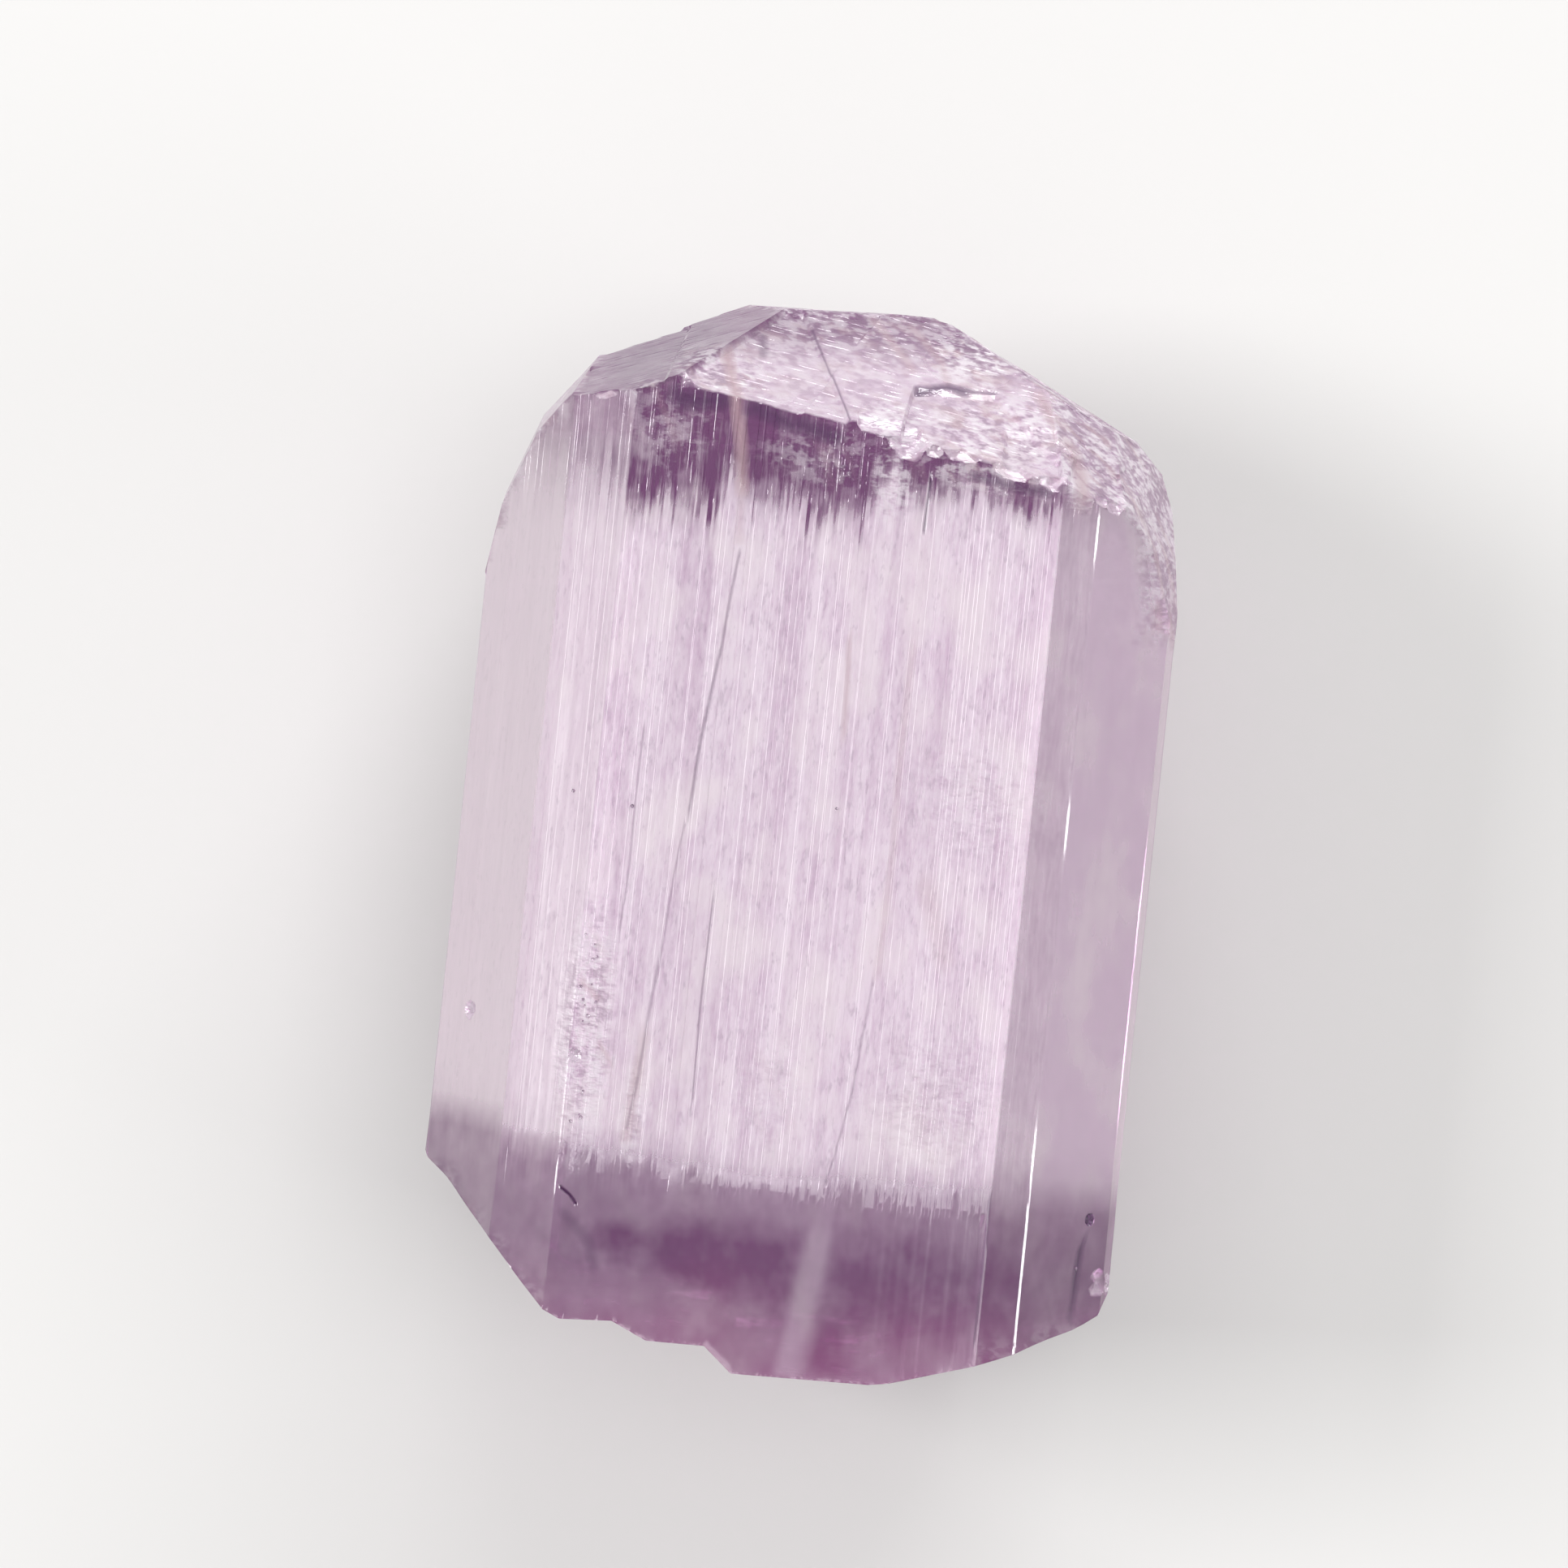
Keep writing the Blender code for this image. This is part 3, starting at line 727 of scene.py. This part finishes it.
def ledge_depth(co, name):
    """How far the ledges lower each point of a pyramid facet."""
    depth = np.zeros(len(co))
    for facet, drop, outline in LEDGES:
        if facet == name:
            reach = [(co - np.array(place)) @ np.array(inward) for place, inward in sides(outline)]
            depth += drop * np.clip(np.min(reach, axis=0) / RISER, 0, 1)
    return depth


def tread_depth(co, rise):
    """Short treads across the pyramid: a facet leans in from one to the next, where it steps out again."""
    below = (THICKNESS - co[:, 2]) / TREAD_SPACING
    band = np.ceil(below - 1e-3)
    share = np.clip(below - (band - 1), 0, 1)
    gap = TREAD_GAP / TREAD_SPACING
    lean = np.clip((share - gap) / (1 - gap), 0, 1)
    length = wavy(np.column_stack([co[:, 0] * 1.7, band * 3.7, co[:, 0] * 0]), (1, 1, 1), (0, 0, 11))
    return rise * np.clip(length * 3, 0, 1) * lean


def fracture_depth(co, name):
    """The broken end's lumps, its shell-like ripples and its notch at each point."""
    lump = 0.5 + 0.5 * wavy(co, FRACTURE_WAVES, (0, 5, 0))
    far = np.hypot(co[:, 0] - RIPPLE_CENTRE[0], co[:, 2] - RIPPLE_CENTRE[1])
    ripple = 0.5 + 0.5 * np.sin(2 * math.pi * far / RIPPLE_SPACING)
    inside = np.clip((THICKNESS - co[:, 2]) / ROUGH_FROM, 0, 1)
    depth = (FRACTURE_LUMP * lump + FRACTURE_RIPPLE * ripple) * inside
    return depth + (table(NOTCH, co[:, 0]) if name in NOTCHED else 0)


def end_depth(co, name, settings):
    """How far each point at one end facet is worn in along the crystal."""
    if name in FRACTURE:
        return fracture_depth(co, name)
    if name in SHOULDERS:
        return np.zeros(len(co))
    lump = 0.5 + 0.5 * wavy(co, PYRAMID_WAVES, NOISE_SHIFT)
    fray = 0.5 + 0.5 * wavy(co, (7, 0, 0)) + 0.5 * wavy(co, (2.3, 0, 0), (4, 0, 0))
    edge = np.clip(1 - (THICKNESS - co[:, 2]) / FRAY_REACH, 0, 1)
    rise = settings.tread_rise * ENDS.get(name, OTHER_END).etch
    steps = ledge_depth(co, name) + tread_depth(co, rise)
    return PYRAMID_LUMP * lump + steps + FRAY * np.clip(fray, 0, 2) * edge


def end_moves(co, names, fade, settings):
    """How far each point is worn in along the crystal, fading down the walls from the end."""
    reach = []
    for name in names:
        place, normal = PLANES[name]
        reach.append((np.array(place) - co) @ np.array(normal) / abs(normal.y))
    near = np.min(reach, axis=0)
    touched = near < fade
    depth, shares = np.zeros(len(co)), np.zeros(len(co))
    for name, far in zip(names, reach):
        here = touched & (far < near + 2e-3)
        depth[here] += end_depth(co[here], name, settings)
        shares[here] += 1
    return depth / np.maximum(shares, 1) * np.clip(1 - near / fade, 0, 1)


def values_of(items, key, size, kind=float):
    """One property of many mesh items, as rows of numbers."""
    values = np.empty(len(items) * size, dtype=kind)
    items.foreach_get(key, values)
    return values.reshape(-1, size)


def points_by_facet(mesh):
    """The points of each facet, found by the planes that its faces lie in."""
    normals = values_of(mesh.polygons, "normal", 3)
    centres = values_of(mesh.polygons, "center", 3)
    corners = values_of(mesh.polygons, "vertices", 3, int)
    found = {}
    for name, (place, normal) in PLANES.items():
        near = np.abs((centres - np.array(place)) @ np.array(normal)) < ON_PLANE
        found[name] = np.unique(corners[near & (normals @ np.array(normal) > 0.999)])
    return found


def mean_of(count, parts):
    """The mean at each point over the parts that it is in, and which points are in any."""
    total, shares = 0, np.zeros((count, 1))
    for verts, values in parts:
        if not np.ndim(total):
            total = np.zeros((count, values.shape[1]))
        total[verts] += values
        shares[verts] += 1
    return total / np.maximum(shares, 1), shares[:, 0] > 0


def wear(crystal, striae, chips, settings):
    """Wears the whole surface. The ends move along the crystal alone and the walls square to themselves."""
    mesh = crystal.data
    co = values_of(mesh.vertices, "co", 3)
    facets = points_by_facet(mesh)
    masks = {name: np.zeros(len(co)) for name in MASKS}
    top, low = [*PYRAMID, *SHOULDERS], list(FRACTURE)
    moves = np.zeros_like(co)
    moves[:, 1] -= end_moves(co, top, PYRAMID_FADE, settings)
    moves[:, 1] += end_moves(co, low, FRACTURE_FADE, settings)
    silks, walls, at_end = [], [], np.zeros(len(co), dtype=bool)
    for name in top + low:
        verts = facets[name]
        way = math.copysign(1, PLANES[name][1].y)
        moves[verts, 1] -= way * stroke_depth(co[verts], name, masks, verts)
        silk, etch = ENDS.get(name, OTHER_END)
        if name == "top front":
            silk *= table(TOP_SILK_ALONG, co[verts, 1] + LENGTH / 2)
        silks.append((verts, np.ones((len(verts), 1)) * np.reshape(silk, (-1, 1))))
        glitter = np.where(co[verts, 2] > GLITTER_ABOVE, in_patches(co[verts], GLITTER), 0)
        masks["etch"][verts] = np.maximum(etch, glitter) if name in PYRAMID else etch
        at_end[verts] = True
    for name, strips in striae.items():
        verts, wall = facets[name], WALLS.get(name, OTHER_WALL)
        depth, silk = wall_depth(co[verts], name, strips, settings)
        depth += stroke_depth(co[verts], name, masks, verts)
        depth = np.where(at_end[verts], WEAR_AT_END * depth, depth)
        walls.append((verts, np.outer(-depth, PLANES[name][1])))
        silks.append((verts, silk[:, None] * wall.silk))
        # Painted sheen that whitens these walls, and a painted highlight on the right round edge
        masks["mist"][verts] = np.maximum(masks["mist"][verts], wall.haze)
        grain = wall.grain * table(GRAIN_ALONG, co[verts, 1] + LENGTH / 2)
        masks["grain"][verts] = np.maximum(masks["grain"][verts], grain)
        if PLANES[name][1].z > 0:
            for middle, half_sizes, etch in ROUGH_PATCHES:
                rough = etch * in_patches(co[verts], [(middle, half_sizes)])
                masks["etch"][verts] = np.maximum(masks["etch"][verts], rough)
    # The silk share, partly the crystal's own milky silk and partly painted sheen
    silk, has_facet = mean_of(len(co), silks)
    masks["silk"] = silk[:, 0]
    masks["blush"] = table(BLUSH, co[:, 1] + LENGTH / 2 + BLUSH_WAVE * wavy(co, (0.5, 0.5, 0.5)))
    for radius, depth, place, out, inner_shade in chips:
        centre = np.array(ball_centre(radius, depth, place, out))
        inside = (np.linalg.norm(co - centre, axis=1) < 1.1 * radius) & ~has_facet
        # Painted shade inside pits and chips
        masks["crack"][inside] = inner_shade
        masks["silk"][inside] = CHIP_SILK
        masks["etch"][inside] = CHIP_ETCH
    masks["etch"] *= 1 - masks["crack"]
    co += moves + mean_of(len(co), walls)[0]
    co[:, 2] = np.maximum(co[:, 2], 0)
    mesh.vertices.foreach_set("co", co.ravel())
    for name, values in masks.items():
        mesh.attributes.new(name, "FLOAT", "POINT").data.foreach_set("value", values)
    mesh.update()


def hex_colour(text):
    """A linear colour from an sRGB hex value."""
    parts = [int(text[k : k + 2], 16) / 255 for k in (1, 3, 5)]
    linear = [part / 12.92 if part <= 0.04045 else ((part + 0.055) / 1.055) ** 2.4 for part in parts]
    return (*linear, 1.0)


def add_node(tree, kind, settings=()):
    """Adds a node with its settings: properties, values for its inputs, and outputs that its inputs take."""
    node = tree.nodes.new(kind)
    for key, value in dict(settings).items():
        if isinstance(key, str) and hasattr(node, key):
            setattr(node, key, value)
        elif isinstance(value, bpy.types.NodeSocket):
            tree.links.new(value, node.inputs[key])
        else:
            node.inputs[key].default_value = value
    return node


# The patterns of the crystal's surface: the size of each across and along the crystal in mm, how much finer
# detail it has, and how many degrees it is turned
PATTERNS = {
    "broad": (0.18, 3.5, 2.0, 0),
    "hair": (0.05, 0.7, 2.0, 0),
    "dash": (0.08, 0.42, 2.0, 0),
    "band": (0.5, 9.0, 1.0, 0),
    "haze": (1.2, 1.9, 2.0, 0),
    "cloud": (0.6, 0.8, 2.0, 0),
    "dust": (0.09, 0.3, 2.0, 0),
    "crumbs": (0.26, 0.15, 2.0, 0),
    "seams": (0.45, 3.0, 2.0, 28),
}


def scapolite(settings):
    """Violet scapolite as it grew. It is clear violet, and silky white where growth left fine strips along
    it: those catch the light as a sheen, and the silky white is partly painted sheen too. The pyramid is
    etched, with painted glints and painted shade in its flecks, and old breaks are stained brown. The dark
    fill of cracks is also painted shade in pits and under ledges."""
    material = bpy.data.materials.new("violet scapolite, with painted sheen and glints")
    material.use_nodes = True
    tree = material.node_tree
    shader = tree.nodes["Principled BSDF"]
    made = {}
    for name in MASKS:
        made[name] = add_node(tree, "ShaderNodeAttribute", {"attribute_name": name}).outputs["Fac"]
    place = add_node(tree, "ShaderNodeTexCoord").outputs["Object"]
    for name, (across, along, detail, turn) in PATTERNS.items():
        turned = add_node(tree, "ShaderNodeMapping", {
            "vector_type": "TEXTURE",
            "Vector": place,
            "Rotation": (0, 0, math.radians(turn)),
            "Scale": (across * MM, along * MM, across * MM),
        }).outputs[0]
        noisy = {"Vector": turned, "Scale": 1.0, "Detail": detail, "Roughness": 0.6}
        made[name] = add_node(tree, "ShaderNodeTexNoise", noisy).outputs["Fac"]

    # Each node's name, its kind or a Math node's operation, and its inputs, as a value or a node's name.
    # Inputs 6 and 7 of a Mix node are its two colours, and 1 to 4 of a MapRange node the ends of its ranges.
    for name, kind, inputs in (
        ("lines", "ADD", {0: "broad", 1: "hair"}),
        ("streaks", "MULTIPLY_ADD", {0: "lines", 1: 0.9, 2: -0.9}),
        ("clear", "SUBTRACT", {0: 1.0, 1: "silk"}),
        ("open", "MULTIPLY_ADD", {0: "clear", 1: 0.8, 2: 0.3}),
        ("fade", "MULTIPLY", {0: "open", 1: "grain"}),
        ("streaked", "MULTIPLY_ADD", {0: "streaks", 1: "fade", 2: "silk"}),
        ("cloudy", "SUBTRACT", {0: "cloud", 1: 0.5}),
        ("clouds", "MULTIPLY", {0: "cloudy", 1: "clear"}),
        ("patchy", "MULTIPLY_ADD", {0: "grain", 1: 0.9, 2: 0.4}),
        ("clouded", "MULTIPLY_ADD", {0: "clouds", 1: "patchy", 2: "streaked"}),
        ("sheen", "Clamp", {0: "clouded"}),
        ("tone", "MULTIPLY_ADD", {0: "dash", 1: 1.4, 2: -0.78}),
        ("tones", "MULTIPLY_ADD", {0: "band", 1: 1.5, 2: "tone"}),
        ("uneven", "SUBTRACT", {0: "tones", 1: 0.65}),
        ("shading", "MULTIPLY_ADD", {0: "uneven", 1: "grain", 2: 0.7}),
        # Pale silky colour: partly the crystal's own milky silk, partly painted sheen, whiter with haze and
        # side sheen
        ("pale", "Mix", {0: "shading", 6: settings.silk_and_sheen_shade, 7: settings.silk_and_sheen_colour}),
        ("hazy", "MapRange", {0: "haze", 1: 0.46, 2: 0.7, 4: 0.7}),
        ("haze_and_painted_sheen", "MAXIMUM", {0: "hazy", 1: "mist"}),
        ("silky", "Mix", {0: "haze_and_painted_sheen", 6: "pale", 7: settings.haze_and_sheen_colour}),
        ("deep", "Mix", {0: "blush", 6: settings.clear_colour, 7: settings.blush_colour}),
        ("grown", "Mix", {0: "sheen", 6: "deep", 7: "silky"}),
        ("specks", "MULTIPLY_ADD", {0: "haze", 1: -0.35, 2: "dust"}),
        ("dusty", "MapRange", {0: "specks", 1: 0.40, 2: 0.56, 4: 0.32}),
        ("dusted", "MULTIPLY", {0: "dusty", 1: "grain"}),
        ("worn", "Mix", {0: "dusted", 6: "grown", 7: settings.dust_colour}),
        # Painted glints: white flecks where the surface is etched; painted shade: clear violet flecks in its
        # hollows
        ("coarse", "MULTIPLY_ADD", {0: "cloud", 1: 0.7, 2: "crumbs"}),
        ("glint_flecks", "MapRange", {0: "coarse", 1: 0.82, 2: 0.96, 4: 0.9}),
        ("glitter", "MULTIPLY", {0: "glint_flecks", 1: "etch"}),
        ("glittery", "Mix", {0: "glitter", 6: "worn", 7: settings.glint_colour}),
        ("hollows", "MapRange", {0: "coarse", 1: 0.82, 2: 0.7, 4: 0.5}),
        ("shade", "MULTIPLY", {0: "hollows", 1: "etch"}),
        ("shaded", "Mix", {0: "shade", 6: "glittery", 7: settings.clear_colour}),
        ("ribbons", "MapRange", {0: "seams", 1: 0.53, 2: 0.66, 4: 0.55}),
        ("brown", "MULTIPLY", {0: "ribbons", 1: "etch"}),
        ("stains", "MAXIMUM", {0: "brown", 1: "stain"}),
        ("stained", "Mix", {0: "stains", 6: "shaded", 7: settings.stain_colour}),
        # Dark crack fill: open cracks, and painted shade in pits, chips and under ledges
        ("cracked_and_shaded", "Mix", {0: "crack", 6: "stained", 7: settings.crack_and_shade_colour}),
        ("brushed", "MULTIPLY", {0: "sheen", 1: "grain"}),
        ("matt", "MAXIMUM", {0: "brushed", 1: "etch"}),
        ("rough", "MapRange", {0: "matt", 1: 0.35, 2: 0.6, 3: 0.09, 4: 0.32}),
        ("etched", "Bump", {"Distance": 0.00005, "Height": "crumbs", "Strength": "etch"}),
    ):
        inputs = {key: made[value] if isinstance(value, str) else value for key, value in inputs.items()}
        if kind.isupper():
            inputs, kind = {"operation": kind, **inputs}, "Math"
        elif kind == "Mix":
            inputs = {"data_type": "RGBA", **inputs}
        made[name] = add_node(tree, "ShaderNode" + kind, inputs).outputs[2 if kind == "Mix" else 0]
    tree.links.new(made["cracked_and_shaded"], shader.inputs["Base Color"])
    tree.links.new(made["rough"], shader.inputs["Roughness"])
    tree.links.new(made["etched"], shader.inputs["Normal"])
    shader.inputs["Transmission Weight"].default_value = settings.clarity
    shader.inputs["IOR"].default_value = 1.55
    values = {"Color": settings.body_colour, "Density": settings.body_depth}
    body = add_node(tree, "ShaderNodeVolumeAbsorption", values)
    tree.links.new(body.outputs[0], tree.nodes["Material Output"].inputs["Volume"])
    return material


def finish_crystal(crystal, settings):
    """Turns the crystal to metres, shades it, and gives it its material and its place in the frame."""
    deselect_all()
    crystal.select_set(True)
    bpy.context.view_layer.objects.active = crystal
    bpy.ops.object.shade_smooth_by_angle(angle=math.radians(SMOOTH_ANGLE))
    crystal.scale = (MM, MM, MM)
    bpy.ops.object.transform_apply(location=True, rotation=True, scale=True)
    crystal.data.materials.append(scapolite(settings))
    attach(crystal, "root")
    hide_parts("crystal")


# The camera looks straight down, its top turned a little from the way the crystal points
VIEW_WIDTH = 0.03537
VIEW_CENTRE = (-0.00061, 0.001125, 0.007)
VIEW_TURN = 5.88
SENSOR = 36.0

# The softboxes: where each stands, as degrees round from the pyramid's side by the right, and degrees up, how
# far off it is, its size, and how bright it looks
SOFTBOXES = {
    "overhead softbox": (80, 76.5, 0.7, (0.26, 0.3), 3.9),
    "left softbox": (275, 38, 0.8, (0.3, 0.36), 18),
    "right strip": (95, 21, 0.8, (0.42, 0.07), 24),
    "pyramid softbox": (8, 18, 0.8, (0.7, 0.36), 14),
}
FLOOR_GAP = 0.00003


def add_softbox(name, azimuth, elevation, far, size, radiance):
    """A soft light that faces the crystal."""
    az, el = math.radians(azimuth), math.radians(elevation)
    out = Vector((math.cos(el) * math.sin(az), math.cos(el) * math.cos(az), math.sin(el)))
    lamp = bpy.data.lights.new(name, "AREA")
    lamp.shape = "RECTANGLE"
    lamp.size, lamp.size_y = size
    lamp.energy = radiance * math.pi * size[0] * size[1]
    light = bpy.data.objects.new(name, lamp)
    light.location = out * far
    light.rotation_euler = out.to_track_quat("Z", "Y").to_euler()
    light.visible_camera = False
    bpy.context.scene.collection.objects.link(light)


def set_camera(lens):
    """The camera straight above the crystal, with a long lens."""
    camera = bpy.data.cameras.new("camera")
    camera.lens = lens
    camera.sensor_width = SENSOR
    camera.clip_start, camera.clip_end = 0.01, 10
    holder = bpy.data.objects.new("camera", camera)
    holder.location = Vector(VIEW_CENTRE) + Vector((0, 0, VIEW_WIDTH * lens / SENSOR))
    holder.rotation_euler = (0, 0, math.radians(VIEW_TURN))
    bpy.context.scene.collection.objects.link(holder)
    bpy.context.scene.camera = holder


def matt_card(colour):
    """Pale matt card: an even, soft tone with no shine, so that the crystal stands out on it."""
    material = bpy.data.materials.new("pale matt card")
    material.use_nodes = True
    shader = material.node_tree.nodes["Principled BSDF"]
    shader.inputs["Base Color"].default_value = colour
    shader.inputs["Roughness"].default_value = 0.9
    return material


def set_stage(settings):
    """The floor, the lights and the camera."""
    deselect_all()
    bpy.ops.mesh.primitive_plane_add(size=3, location=(0, 0, -FLOOR_GAP))
    floor = bpy.context.object
    floor.name = "floor"
    floor.data.materials.append(matt_card(settings.floor_colour))
    bpy.ops.object.transform_apply(location=True, rotation=True, scale=True)
    world = bpy.data.worlds.new("studio")
    bpy.context.scene.world = world
    world.use_nodes = True
    sky = world.node_tree.nodes["Background"]
    sky.inputs["Color"].default_value = (1, 1, 1, 1)
    sky.inputs["Strength"].default_value = settings.room_light
    for name, values in SOFTBOXES.items():
        add_softbox(name, *values)
    bpy.context.scene.view_settings.view_transform = "Standard"
    set_camera(settings.lens)


def shape_crystal(settings):
    """The crystal with its facets, chips and score lines, still flat, its walls' strips, and its chips."""
    draw = random.Random(SEED)
    chips = all_chips(draw)
    crystal = cut_block()
    for seed, (radius, depth, place, out, _) in enumerate(chips):
        bite(crystal, radius, depth, place, out, seed)
    return crystal, score_crystal(crystal, settings.strip_width, draw), chips


def number(name, description, default, **more):
    return FloatProperty(name=name, description=description, default=default, **more)


def angle(name, description, degrees):
    return number(name, description, math.radians(degrees), subtype="ANGLE")


def colour(name, description, text):
    return FloatVectorProperty(
        name=name, description=description, subtype="COLOR", size=4, min=0, max=1, default=hex_colour(text)
    )


class CrystalSettings(bpy.types.PropertyGroup):
    strip_width: number("Strip width", "Mean width of the front wall's growth strips in mm", 0.075, min=0.04)
    silky_lean: angle("Silky lean", "Mean lean of a silky strip", 3.6)
    silky_spread: angle("Silky spread", "How much silky strips differ", 1.4)
    clear_lean: angle("Clear lean", "Mean lean of a clear strip", -6.5)
    clear_spread: angle("Clear spread", "How much clear strips differ", 1.5)
    tread_rise: number("Tread rise", "How far the pyramid steps out at a tread, in mm", 0.045, min=0)
    clarity: number("Clarity", "Share of the light that enters the crystal", 0.7, min=0, max=1)
    body_depth: number("Body depth", "How strongly the crystal colours light, a metre", 55, min=0)
    body_colour: colour("Body colour", "What the crystal lets through", "#b86caf")
    clear_colour: colour("Clear violet", "Where the crystal is clear", "#723c70")
    blush_colour: colour("Blush", "Near the broken end", "#8f4a7e")
    # Silk, its shade and haze: the pale silky colour, partly milky silk and partly painted sheen
    silk_and_sheen_colour: colour("Silk", "Where the growth strips are silky", "#faebf8")
    silk_and_sheen_shade: colour("Silk shade", "Between the silky strips", "#cfafcb")
    haze_and_sheen_colour: colour("Haze", "Where the silk is hazy", "#fdf3f7")
    dust_colour: colour("Dust", "Fine specks in the silk", "#8d7590")
    # Painted glints on the etched pyramid
    glint_colour: colour("Flecks", "Where the etched pyramid glitters", "#fffaff")
    stain_colour: colour("Stain", "What fills healed cracks", "#c9abb0")
    # Fill of open cracks, and painted shade in pits, chips and under ledges
    crack_and_shade_colour: colour("Crack", "Inside open cracks and pits", "#4a2356")


class StageSettings(bpy.types.PropertyGroup):
    floor_colour: colour("Floor", "Colour of the card that the crystal lies on", "#aeadac")
    room_light: number("Room light", "Brightness of the room all round", 0.88, min=0)
    lens: number("Lens", "Focal length of the camera in mm", 250, min=50)


class ScapoliteCrystal(bpy.types.Operator):
    """Cuts the crystal, scores its growth strips, wears its surface and gives it its material"""

    bl_idname = "scapolite.crystal"
    bl_label = "Scapolite crystal"

    def execute(self, context):
        settings = context.scene.scapolite_crystal
        crystal, striae, chips = shape_crystal(settings)
        wear(crystal, striae, chips, settings)
        finish_crystal(crystal, settings)
        return {"FINISHED"}


class ScapoliteStage(bpy.types.Operator):
    """Sets out the floor, the softboxes and the camera above the crystal"""

    bl_idname = "scapolite.stage"
    bl_label = "Floor, light and camera"

    def execute(self, context):
        set_stage(context.scene.scapolite_stage)
        return {"FINISHED"}


class ScapolitePanel(bpy.types.Panel):
    bl_idname = "SCAPOLITE_PT_panel"
    bl_label = "Scapolite crystal"
    bl_space_type = "VIEW_3D"
    bl_region_type = "UI"
    bl_category = "Scapolite"

    def draw(self, context):
        for operator, settings in (
            (ScapoliteCrystal, context.scene.scapolite_crystal),
            (ScapoliteStage, context.scene.scapolite_stage),
        ):
            box = self.layout.box()
            for name in settings.__annotations__:
                box.prop(settings, name)
            box.operator(operator.bl_idname)


CLASSES = (CrystalSettings, StageSettings, ScapoliteCrystal, ScapoliteStage, ScapolitePanel)


def register():
    for item in CLASSES:
        bpy.utils.register_class(item)
    bpy.types.Scene.scapolite_crystal = PointerProperty(type=CrystalSettings)
    bpy.types.Scene.scapolite_stage = PointerProperty(type=StageSettings)


def unregister():
    del bpy.types.Scene.scapolite_stage
    del bpy.types.Scene.scapolite_crystal
    for item in reversed(CLASSES):
        bpy.utils.unregister_class(item)


def main():
    register()
    bpy.ops.scapolite.crystal()
    bpy.ops.scapolite.stage()


if __name__ == "__main__":
    main()
